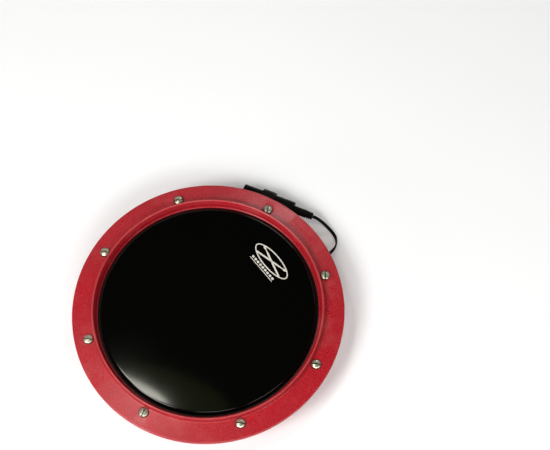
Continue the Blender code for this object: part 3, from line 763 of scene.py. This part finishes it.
def rim_profile():
    """The rim's section: bead, sloping flange, skirt, and the foot that presses on the hoop."""
    drop = FLANGE_THICKNESS
    skirt_inner = RIM_RADIUS - RIM_SKIRT_WALL
    bend_in, bend_down = RIM_WALL_BEND
    corners = [
        (BEAD_INNER_RADIUS, RIM_CREST, 0.0012),
        (BEAD_OUTER_RADIUS, RIM_CREST, 0.0006),
        (*FLANGE_INNER, 0.001),
        (RIM_RADIUS, FLANGE_EDGE_HEIGHT, 0.0014),
        (RIM_RADIUS, RIM_SKIRT_BOTTOM, 0.0005),
        (skirt_inner, RIM_SKIRT_BOTTOM, 0.0003),
        (skirt_inner - 0.0002, FLANGE_EDGE_HEIGHT - drop, 0.0008),
        (BEAD_INNER_RADIUS + 0.0003, FLANGE_INNER[1] - drop),
        (BEAD_INNER_RADIUS - 0.0011, RIM_FOOT_BOTTOM),
        (RIM_FOOT_RADIUS, RIM_FOOT_BOTTOM, 0.0003),
        (RIM_FOOT_RADIUS, RIM_FOOT_TOP, 0.0004),
        (RIM_FOOT_RADIUS + 0.0007, RIM_FOOT_TOP + 0.0003),
        (BEAD_INNER_RADIUS - bend_in, RIM_CREST - bend_down, 0.004),
    ]
    return rounded(corners, 6)


def flange_height(radius):
    """Height of the flange's sloping top at a distance from the pad's axis."""
    share = (radius - FLANGE_INNER[0]) / (RIM_RADIUS - FLANGE_INNER[0])
    return FLANGE_INNER[1] + share * (FLANGE_EDGE_HEIGHT - FLANGE_INNER[1])


def panel_border():
    """A low moulded line round a plain panel on the flange, between two screws."""
    start, end = math.radians(50.0), math.radians(70.5)
    inner, outer = 0.118, 0.1248
    line, proud, sunk = 0.0006, 0.00036, 0.0006
    shoulder = line * 0.6
    steps = 28
    work = bmesh.new()

    def ring(offset, height):
        turn = offset / outer
        sweep = end - start + 2.0 * turn
        there = [(outer + offset, start - turn + sweep * k / steps) for k in range(steps + 1)]
        back = [(inner - offset, end + turn - sweep * k / steps) for k in range(steps + 1)]
        return [
            work.verts.new((*on_circle(r, angle), flange_height(r) + height)) for r, angle in there + back
        ]

    loops = [ring(line, -sunk), ring(shoulder, proud), ring(-shoulder, proud), ring(-line, -sunk)]
    joined_rings(work, loops, True)
    return finished(work)


def build_rim():
    mesh = turned_mesh(rim_profile())
    mesh = cut(mesh, panel_border(), "UNION")
    above = FLANGE_INNER[1] + 4 * PAST
    seat = post(SCREW_HEAD_RADIUS + 2 * CLEARANCE, SCREW_SEAT_HEIGHT, above)
    mesh = cut(mesh, round_cutters(screw_places(), seat))
    hole = post(SCREW_SHANK_RADIUS + 0.0005, RIM_FOOT_BOTTOM - 2 * PAST, above)
    mesh = cut(mesh, round_cutters(screw_places(), hole))
    piece("red_rim", mesh, RED, "rim", ["rim"])


# -------------------- screws


def screw_mesh():
    """One slotted round-head screw, the underside of its head at z = 0."""
    segments = SMALL_SEGMENTS
    side = 0.0009
    crown = SCREW_HEAD_HEIGHT - side
    thread_top, thread_end = -0.001, 0.0008 - SCREW_LENGTH
    steps, roundness = 9, 2.4
    work = bmesh.new()
    head = []
    for k in range(steps):
        share = math.sin(math.pi / 2.0 * k / steps)
        height = side + crown * math.sqrt(1.0 - share**roundness)
        head.append((SCREW_HEAD_RADIUS * share, height))
    head += [
        (SCREW_HEAD_RADIUS, side),
        (SCREW_HEAD_RADIUS, 0.0002),
        (SCREW_HEAD_RADIUS - 0.0002, 0.0),
        (SCREW_SHANK_RADIUS, 0.0),
        (SCREW_SHANK_RADIUS, thread_top),
    ]
    revolve(work, head, segments, False)
    work.verts.ensure_lookup_table()
    rings = [work.verts[-segments:]]
    rows = int(round((thread_top - thread_end) / THREAD_PITCH * THREAD_ROWS))
    for i in range(1, rows + 1):
        height = thread_top + (thread_end - thread_top) * i / rows
        deep = 0.00042 * min(1.0, i / 8.0)
        rings.append(
            thread_ring(work, lambda ridge: SCREW_SHANK_RADIUS - deep * (1.0 - ridge), height, segments)
        )
    rings.append(plain_ring(work, SCREW_SHANK_RADIUS - 0.0009, -SCREW_LENGTH, segments))
    joined_rings(work, rings)
    work.faces.new(rings[-1])
    mesh = finished(work)
    slot = bmesh.new()
    size = Matrix.Diagonal((4.0 * SCREW_HEAD_RADIUS, SLOT_WIDTH, 2.0 * SLOT_DEPTH, 1.0))
    middle = Matrix.Translation((0.0, 0.0, SCREW_HEAD_HEIGHT))
    bmesh.ops.create_cube(slot, size=1.0, matrix=middle @ size)
    return cut(mesh, finished(slot))


def build_screws():
    mesh = screw_mesh()
    underside = SCREW_SEAT_HEIGHT + CLEARANCE
    for i, (x, y) in enumerate(screw_places(), start=1):
        turn = Matrix.Rotation(SLOT_ANGLES[i - 1], 4, "Z")
        own = moved(mesh.copy(), Matrix.Translation((x, y, underside)) @ turn)
        node = f"tension_screw_{i}"
        piece(f"slotted_screw_{i}", own, NICKEL, node, [node])


# -------------------- trigger lead


def smooth_route(points, step):
    """Points on a Catmull-Rom curve through the route's points, a given step apart."""
    route = [Vector(p) for p in points]
    fine = []
    divisions = 20
    for a, b, c, d in zip(route, route[1:], route[2:], route[3:]):
        for k in range(divisions):
            t = k / divisions
            line = 2 * b + (c - a) * t
            bend = (2 * a - 5 * b + 4 * c - d) * t * t + (3 * b - 3 * c + d - a) * t * t * t
            fine.append(0.5 * (line + bend))
    spaced = [fine[0]]
    for point in fine[1:]:
        far_enough = (point - spaced[-1]).length >= step
        if far_enough and (point - route[-2]).length >= step / 2.0:
            spaced.append(point)
    return [route[0], *spaced, route[-2], route[-1]]


def trigger_route():
    """From the grommet's tip, down to the table, round, and up into the jack's boot."""
    return [
        (*on_circle(GROMMET_TIP + CLEARANCE, LEAD_ANGLE), LEAD_HEIGHT),
        (*on_circle(GROMMET_TIP + 0.0034, LEAD_ANGLE), 0.0117),
        (0.0819, 0.1022, 0.0102),
        (0.0832, 0.1068, 0.0085),
        (0.0841, 0.1114, 0.0066),
        (0.0842, 0.1163, 0.0046),
        (0.0831, 0.1207, 0.0032),
        (0.0808, 0.1246, 0.0025),
        (0.0776, 0.1274, 0.0025),
        (0.0735, 0.1295, 0.0037),
        (0.0686, 0.1311, 0.0063),
        (0.0638, 0.132, 0.0096),
        (0.0592, 0.1323, 0.0126),
        (BOOT_REAR + 0.003, JACK_Y, 0.0141),
        (BOOT_REAR + CLEARANCE, JACK_Y, JACK_HEIGHT),
    ]


def bell(value, width):
    """A smooth bump: 1 at 0, and near 0 beyond twice the width."""
    return math.exp(-((value / width) ** 2))


def twin_section(width, thickness):
    """Outline of a flat twin lead: two round cores with a shallow waist between them."""
    points = []
    count = 24
    for k in range(count):
        t = math.tau * k / count
        across = math.cos(t)
        waist = 1.0 - 0.22 * bell(across, 0.28)
        high = math.copysign(abs(math.sin(t)) ** 0.75, math.sin(t))
        points.append((width / 2.0 * across, thickness / 2.0 * high * waist))
    return points


def swept(path, section, twist):
    """A closed tube of a given section along a path. twist(share) is in radians."""
    work = bmesh.new()
    along = [0.0]
    for a, b in zip(path, path[1:]):
        along.append(along[-1] + (b - a).length)
    rings = []
    for i, point in enumerate(path):
        ahead = path[min(i + 1, len(path) - 1)] - path[max(i - 1, 0)]
        forward = ahead.normalized()
        side = forward.cross(Vector((0.0, 0.0, 1.0))).normalized()
        up = side.cross(forward).normalized()
        angle = twist(along[i] / along[-1])
        across = side * math.cos(angle) + up * math.sin(angle)
        rise = up * math.cos(angle) - side * math.sin(angle)
        rings.append([work.verts.new(point + across * x + rise * y) for x, y in section])
    joined_rings(work, rings)
    work.faces.new(rings[0])
    work.faces.new(rings[-1])
    return finished(work, 50.0)


def build_trigger_lead():
    """The flat lead, which turns on its edge where it bends round towards the jack."""
    path = smooth_route(trigger_route(), 0.0012)
    bend_middle, bend_width, most = 0.4, 0.14, math.radians(80.0)

    def twist(share):
        return most * bell(share - bend_middle, bend_width)

    mesh = swept(path, twin_section(LEAD_WIDTH, LEAD_THICKNESS), twist)
    lead = piece("flat_lead", mesh, CORD, "base", ["trigger_lead"])
    return lead, path


def build_sensor_lead():
    route = [
        (PIEZO_DISTANCE + 0.004, LEDGE_HEIGHT - 0.0031 - INNER_LEAD_RADIUS),
        (0.058, 0.0146),
        (0.07, 0.0128),
        (0.084, LEAD_HEIGHT),
        (0.098, LEAD_HEIGHT),
        (GROMMET_INNER_END - CLEARANCE, LEAD_HEIGHT),
    ]
    points = [(*on_circle(radius, LEAD_ANGLE), height) for radius, height in route]
    path = smooth_route(points, 0.002)
    sides = 16
    section = [on_circle(INNER_LEAD_RADIUS, math.tau * k / sides) for k in range(sides)]
    mesh = swept(path, section, lambda share: 0.0)
    piece("inner_lead", mesh, CORD, "base", ["sensor_lead"])


def build_sensor():
    x, y = on_circle(PIEZO_DISTANCE, LEAD_ANGLE)
    top = LEDGE_HEIGHT
    layers = [
        ("sensor_foam", "sensor_pad", PIEZO_RADIUS - 0.0005, 0.0014, FOAM, "foam"),
        ("piezo_disc", "piezo_plate", PIEZO_RADIUS, 0.0004, BRASS, "brass"),
        ("ceramic_disc", "piezo_ceramic", CERAMIC_RADIUS, 0.0004, CERAMIC, "ceramic"),
    ]
    for name, node, radius, thickness, material, slot in layers:
        bevel = thickness * 0.2
        outline = [(0.0, 0.0), (radius, 0.0, bevel), (radius, -thickness, bevel), (0.0, -thickness)]
        place = Matrix.Translation((x, y, top))
        made = turned_piece(name, outline, material, node, 3, False, ROUND_SEGMENTS, place=place)
        top -= thickness + CLEARANCE


def build_grommet():
    inside = BASE_FOOT_RADIUS - BASE_WALL - 0.0004
    outside = BASE_FOOT_RADIUS + 0.0012
    flange = 0.0046
    outline = [
        (0.0, GROMMET_TIP),
        (LEAD_NOSE, GROMMET_TIP, 0.0003),
        (GROMMET_NECK - 0.0004, outside + 0.0018, 0.0003),
        (flange, outside + 0.0014, 0.0004),
        (flange, outside, 0.0002),
        (GROMMET_NECK, outside),
        (GROMMET_NECK, inside),
        (flange, inside, 0.0002),
        (flange, GROMMET_INNER_END + 0.0008, 0.0004),
        (GROMMET_NECK, GROMMET_INNER_END, 0.0003),
        (0.0, GROMMET_INNER_END),
    ]
    turn = Matrix.Rotation(LEAD_ANGLE, 4, "Z") @ Matrix.Rotation(math.pi / 2.0, 4, "Y")
    place = Matrix.Translation((0.0, 0.0, LEAD_HEIGHT)) @ turn
    turned_piece(
        "wall_grommet", outline, RUBBER, "lead_grommet", 3, False, SMALL_SEGMENTS, place=place
    )


# -------------------- jack socket and clip

ALONG_JACK = Matrix.Translation((0.0, JACK_Y, JACK_HEIGHT)) @ Matrix.Rotation(math.pi / 2.0, 4, "Y")


def along_jack(name, outline, material, node, closed=True):
    """A piece turned about the jack's axis. Its outline is (radius, place along X)."""
    return turned_piece(
        name, outline, material, node, 4, closed, ROUND_SEGMENTS, place=ALONG_JACK
    )


def build_jack():
    """Bushing, barrel, insulator and boot of the jack socket. Returns the boot."""
    neck_rear = JACK_FRONT + BUSHING_LENGTH
    neck = JACK_RADIUS - 0.0017
    flange_rear = JACK_FRONT + 0.003
    bushing = [
        (PLUG_BORE, neck_rear),
        (neck, neck_rear, 0.0003),
        (neck, flange_rear),
        (JACK_RADIUS, flange_rear, 0.0003),
        (JACK_RADIUS, JACK_FRONT, 0.0006),
        (PLUG_BORE + 0.001, JACK_FRONT, 0.0004),
        (PLUG_BORE, JACK_FRONT + 0.0014, 0.0004),
    ]
    along_jack("socket_bushing", bushing, BLACK, "jack_bushing")
    front = flange_rear + CLEARANCE
    inner = JACK_RADIUS - 0.0013
    groove = JACK_RADIUS - 0.00022
    end_wall = 0.0025
    barrel = [
        (BOOT_NECK + CLEARANCE, JACK_REAR),
        (JACK_RADIUS, JACK_REAR, 0.0006),
        (JACK_RADIUS, JACK_REAR - 0.0016),
        (groove, JACK_REAR - 0.0018),
        (groove, JACK_REAR - 0.0026),
        (JACK_RADIUS, JACK_REAR - 0.0028),
        (JACK_RADIUS, front, 0.0004),
        (inner, front, 0.0002),
        (inner, JACK_REAR - end_wall),
        (BOOT_NECK + CLEARANCE, JACK_REAR - end_wall),
    ]
    along_jack("socket_barrel", barrel, BLACK, "jack_housing")
    washer_front = neck_rear + CLEARANCE
    washers = [
        (PLUG_BORE, washer_front + INSULATOR_LENGTH),
        (neck, washer_front + INSULATOR_LENGTH, 0.0002),
        (neck, washer_front, 0.0002),
        (PLUG_BORE, washer_front),
    ]
    along_jack("washer_stack", washers, BOARD, "jack_insulator")
    radius = 0.0039
    body_front = JACK_REAR + CLEARANCE
    ridges, ridge_step = 3, 0.0019
    outline = [(0.0, BOOT_REAR), (LEAD_NOSE, BOOT_REAR, 0.0002)]
    for k in range(ridges):
        rear = BOOT_REAR - 0.0008 - k * ridge_step
        crest = 0.0036 + 0.0001 * k
        outline += [
            (crest, rear, 0.0003),
            (crest, rear - 0.001, 0.0003),
            (crest - 0.0005, rear - 0.0012, 0.0001),
            (crest - 0.0005, rear - 0.0016, 0.0001),
        ]
    outline += [
        (radius, BOOT_REAR - 0.0072, 0.0008),
        (radius, body_front, 0.0008),
        (BOOT_NECK, body_front),
        (BOOT_NECK, JACK_REAR - 0.005),
        (0.0, JACK_REAR - 0.005),
    ]
    return along_jack("lead_boot", outline, BLACK, "jack_boot", closed=False)


def extruded_mesh(outline, depth, bevel=0.0):
    """A flat outline with a thickness along Z, centred on it, its rims bevelled."""
    work = bmesh.new()
    low = [work.verts.new((x, y, -depth / 2.0)) for x, y in outline]
    high = [work.verts.new((x, y, depth / 2.0)) for x, y in outline]
    joined_rings(work, [low, high])
    caps = [work.faces.new(low), work.faces.new(high)]
    if bevel:
        edges = {edge for cap in caps for edge in cap.edges}
        bmesh.ops.bevel(work, geom=list(edges), offset=bevel, segments=2, profile=0.5, affect="EDGES")
    return finished(work)


def arc(radius, start, end, steps):
    return [on_circle(radius, start + (end - start) * k / steps) for k in range(steps + 1)]


def build_tip_contact():
    """A strip with a kink that a plug's tip would rest against."""
    start = JACK_FRONT + BUSHING_LENGTH + INSULATOR_LENGTH + 3 * CLEARANCE
    strip = 0.0004
    upper = [
        (start, 0.005),
        (start + 0.008, 0.0046),
        (start + 0.0105, 0.004),
        (start + 0.0118, 0.003),
        (start + 0.0125, 0.0026),
        (start + 0.0132, 0.0028),
        (start + 0.015, 0.0042),
    ]
    outline = [*upper, *[(x, z - strip) for x, z in reversed(upper)]]
    mesh = extruded_mesh(outline, 0.0024)
    turn = Matrix.Translation((0.0, JACK_Y, JACK_HEIGHT)) @ Matrix.Rotation(math.pi / 2.0, 4, "X")
    piece("contact_strip", moved(mesh, turn), BRASS, "base", ["tip_contact"])


def build_clip():
    """An open ring that grips the barrel, on a stem that meets the base's wall."""
    inner = JACK_RADIUS + CLEARANCE
    stem_half = 0.0058
    stem_end = BASE_WALL_RADIUS + CLEARANCE - JACK_Y
    stem_angle = math.asin(stem_half / CLIP_RADIUS)
    first_lip, last_lip = math.radians(-48.0), math.radians(248.0)
    outline = arc(CLIP_RADIUS, first_lip, math.pi - stem_angle, 36)
    outline += [(stem_end, stem_half), (stem_end, -stem_half)]
    outline += arc(CLIP_RADIUS, math.pi + stem_angle, last_lip, 8)
    outline += arc(inner, last_lip, first_lip, 56)
    mesh = extruded_mesh(outline, CLIP_REAR - CLIP_FRONT, 0.0003)
    turn = Matrix.Rotation(math.pi / 2.0, 4, "Z") @ Matrix.Rotation(math.pi / 2.0, 4, "X")
    mesh = moved(mesh, Matrix.Translation((CLIP_SCREW_X, JACK_Y, JACK_HEIGHT)) @ turn)
    for start, radius in (
        (BASE_WALL_RADIUS - 4 * PAST, CLIP_SCREW_RADIUS),
        (JACK_Y - JACK_RADIUS - CLEARANCE - 0.002, CLIP_SCREW_HEAD_RADIUS),
    ):
        low, high = (CLIP_SCREW_X, start, JACK_HEIGHT), (CLIP_SCREW_X, JACK_Y, JACK_HEIGHT)
        mesh = cut(mesh, rod(low, high, radius + CLEARANCE))
    piece("barrel_clip", mesh, OLIVE, "base", ["jack_clip"])


def build_clip_screw():
    head_top = JACK_Y - JACK_RADIUS - 2 * CLEARANCE
    head_bottom = head_top - 0.0014
    tip = BASE_FOOT_RADIUS - 0.005
    outline = [
        (0.0, head_top),
        (CLIP_SCREW_HEAD_RADIUS, head_top, 0.0004),
        (CLIP_SCREW_HEAD_RADIUS, head_bottom, 0.0001),
        (CLIP_SCREW_RADIUS, head_bottom),
        (CLIP_SCREW_RADIUS, tip + 0.0012),
        (0.0003, tip),
        (0.0, tip),
    ]
    turn = Matrix.Rotation(-math.pi / 2.0, 4, "X")
    place = Matrix.Translation((CLIP_SCREW_X, 0.0, JACK_HEIGHT)) @ turn
    turned_piece(
        "small_screw", outline, NICKEL, "clip_screw", 3, False, FINE_SEGMENTS, place=place
    )


# -------------------- the printed mark


def stadium(centre, width, height, steps=10):
    """Outline of a bar with round ends, centred on a point."""
    reach, radius = width / 2.0 - height / 2.0, height / 2.0
    points = []
    for side, first in ((1.0, -math.pi / 2.0), (-1.0, math.pi / 2.0)):
        for k in range(steps + 1):
            x, y = on_circle(radius, first + math.pi * k / steps)
            points.append((centre[0] + (side * reach + x), centre[1] + y))
    return points


def stick_outline(centre, length, turn):
    """A drumstick: a long taper and an oval tip, turned about a centre."""
    half = length / 2.0
    upper = [
        (-half, 0.00085),
        (half * 0.45, 0.0008),
        (half * 0.76, 0.00045),
        (half * 0.82, 0.0009),
        (half * 0.91, 0.00115),
        (half * 0.98, 0.0007),
    ]
    points = [*upper, (half, 0.0), *[(x, -y) for x, y in reversed(upper)]]
    c, s = math.cos(turn), math.sin(turn)
    return [(centre[0] + x * c - y * s, centre[1] + x * s + y * c) for x, y in points]


def oval(centre, width, height, steps=64):
    """Outline of an ellipse centred on a point."""
    turns = [math.tau * k / steps for k in range(steps)]
    return [
        (centre[0] + width / 2.0 * math.cos(t), centre[1] + height / 2.0 * math.sin(t)) for t in turns
    ]


def mark_shapes():
    """Crossed sticks in an oval ring, over a row of bars and a line. Each shape is its outlines."""
    middle, width, height, line = (0.0, 0.0068), 0.045, 0.0164, 0.0012
    shapes = [[oval(middle, width, height), oval(middle, width - 2 * line, height - 2 * line)]]
    for turn in (math.radians(15.0), math.radians(165.0)):
        shapes.append([stick_outline(middle, 0.0345, turn)])
    bars, gap = 9, 0.0036
    for k in range(bars):
        x = (k - (bars - 1) / 2.0) * gap
        shapes.append([stadium((x, -0.0036), 0.0028, 0.0022)])
    shapes.append([stadium((0.0, -0.006), 0.033, 0.0007)])
    return shapes


def filled(outlines):
    """A flat bmesh between the outlines, cut into strips so that it can follow the crown."""
    curve = bpy.data.curves.new("shape", "CURVE")
    curve.dimensions = "2D"
    curve.fill_mode = "BOTH"
    for outline in outlines:
        spline = curve.splines.new("POLY")
        spline.points.add(len(outline) - 1)
        for point, (x, y) in zip(spline.points, outline):
            point.co = (x, y, 0.0, 1.0)
        spline.use_cyclic_u = True
    guide = new_object("shape", curve)
    bpy.context.view_layer.update()
    graph = bpy.context.evaluated_depsgraph_get()
    flat = bpy.data.meshes.new_from_object(guide.evaluated_get(graph))
    bpy.data.objects.remove(guide, do_unlink=True)
    work = bmesh.new()
    work.from_mesh(flat)
    bmesh.ops.remove_doubles(work, verts=work.verts, dist=0.000001)
    strips, strip_width = 9, 0.0024
    for k in range(-strips, strips + 1):
        geometry = [*work.verts, *work.edges, *work.faces]
        place = (k * strip_width, 0.0, 0.0)
        bmesh.ops.bisect_plane(work, geom=geometry, plane_co=place, plane_no=(1.0, 0.0, 0.0))
    return work


def build_mark():
    """A generic mark in thin ink on the film, its foot towards the pad's axis."""
    origin = Vector((*on_circle(0.0673, math.radians(59.8)), 0.0))
    facing = math.radians(60.9)
    across = Vector((math.sin(facing), -math.cos(facing), 0.0))
    outward = Vector((-across.y, across.x, 0.0))
    proud, sunk = 0.00003, 0.00006
    work = bmesh.new()
    for outlines in mark_shapes():
        part = filled(outlines)
        result = bmesh.ops.extrude_face_region(part, geom=part.faces[:])
        for vert in result["geom"]:
            if isinstance(vert, bmesh.types.BMVert):
                vert.co.z = 1.0
        for vert in part.verts:
            at = origin + across * vert.co.x + outward * vert.co.y
            height = head_height(math.hypot(at.x, at.y)) + (proud if vert.co.z > 0.5 else -sunk)
            vert.co = Vector((at.x, at.y, height))
        bmesh.ops.recalc_face_normals(part, faces=part.faces)
        done = bpy.data.meshes.new("part")
        part.to_mesh(done)
        part.free()
        work.from_mesh(done)
    piece("printed_mark", finished(work, 25.0), INK, "base")


# -------------------- build

build_base()
build_foot_ring()
build_inserts()
build_stand_bush()
build_film()
build_hoop()
build_board()
build_foam()
build_rim()
build_screws()
build_sensor()
build_sensor_lead()
build_grommet()
BOOT = build_jack()
build_tip_contact()
build_clip()
build_clip_screw()
LEAD, LEAD_PATH = build_trigger_lead()
build_mark()

# -------------------- floor, light, camera


def build_floor():
    """A matt white floor with a faint glow, like a light table."""
    work = bmesh.new()
    bmesh.ops.create_grid(work, x_segments=2, y_segments=2, size=4.0)
    floor = new_object("floor", finished(work))
    m = Nodes("pale_floor")
    tone = m.noise(0.5, 2.0)
    m.colour(m.mixed(m.spread(tone, 0.3, 0.7, 0.0, 1.0), (0.96, 0.96, 0.96), (0.94, 0.94, 0.94)))
    m.set(Roughness=0.9, Specular_IOR_Level=0.2)
    m.set(Emission_Color=(1.0, 1.0, 1.0, 1.0), Emission_Strength=0.1)
    floor.data.materials.append(m.material)


def area_light(name, place, width, height, watts, colour):
    """A soft round light, aimed at the middle of the pad and unseen itself."""
    light = bpy.data.lights.new(name, "AREA")
    light.shape = "ELLIPSE"
    light.size = width
    light.size_y = height
    light.energy = watts
    light.color = colour
    obj = new_object(name, light)
    obj.location = place
    obj.rotation_mode = "QUATERNION"
    obj.rotation_quaternion = (PAD_MIDDLE - Vector(place)).to_track_quat("-Z", "Y")
    obj.visible_camera = False


def build_world():
    """Pale round the horizon and dark overhead, as in a studio with a black ceiling."""
    world = bpy.data.worlds.new("studio")
    world.use_nodes = True
    tree = world.node_tree
    coordinates = tree.nodes.new("ShaderNodeTexCoord")
    split = tree.nodes.new("ShaderNodeSeparateXYZ")
    spread = tree.nodes.new("ShaderNodeMapRange")
    spread.interpolation_type = "SMOOTHSTEP"
    set_range(spread, 0.2, 0.62, 0.06, 0.0)
    tree.links.new(coordinates.outputs["Generated"], split.inputs["Vector"])
    tree.links.new(split.outputs["Z"], spread.inputs["Value"])
    background = tree.nodes["Background"]
    background.inputs["Color"].default_value = (1.0, 0.995, 0.98, 1.0)
    tree.links.new(spread.outputs["Result"], background.inputs["Strength"])
    bpy.context.scene.world = world


build_floor()
build_world()
PAD_MIDDLE = Vector((0.0, 0.0, 0.03))
WHITE = (1.0, 1.0, 1.0)
WARM = (1.0, 0.985, 0.86)
OLIVE_TINT = (0.95, 1.2, 0.4)
for name, place, width, depth, watts, colour in (
    ("main", (-0.706, -1.515, 2.022), 1.0, 1.0, 42.0, WHITE),
    ("front_fill", (0.691, -1.482, 1.502), 0.9, 0.9, 15.0, WHITE),
    ("right_fill", (1.347, -0.628, 1.368), 0.8, 0.8, 8.0, WHITE),
    ("back_fill", (-0.1, 1.3, 1.35), 0.5, 0.3, 2.6, WHITE),
    ("corner_fill", (0.75, 1.3, 1.25), 0.6, 0.6, 1.0, WHITE),
    ("back_left_fill", (-0.853, 1.217, 1.368), 0.6, 0.6, 0.6, WHITE),
    ("left_fill", (-1.327, 0.766, 1.316), 0.6, 0.6, 0.6, WHITE),
    ("edge_light", (-0.95, -1.15, 0.45), 0.3, 0.3, 3.0, WHITE),
    ("key", (-0.385, -0.026, 1.4), 0.12, 0.28, 1.35, WARM),
    ("key_glow", (-0.38, -0.18, 1.4), 0.2, 0.2, 1.2, WHITE),
    ("film_glow", (-0.25, -0.01, 1.4), 0.32, 0.5, 0.075, OLIVE_TINT),
):
    area_light(name, place, width, depth, watts, colour)

CAMERA_PLACE = Vector((0.18396, -0.28547, 0.9788))
CAMERA_AIM = Vector((0.02554, 0.10141, 0.0345))
camera = new_object("camera", bpy.data.cameras.new("camera"))
camera.data.sensor_width = 36.0  # in mm, as is the lens
camera.data.lens = 70.17
camera.data.clip_start = 0.01
camera.location = CAMERA_PLACE
camera.rotation_mode = "QUATERNION"
camera.rotation_quaternion = (CAMERA_AIM - CAMERA_PLACE).to_track_quat("-Z", "Y")
bpy.context.scene.camera = camera
bpy.context.scene.view_settings.view_transform = "Standard"
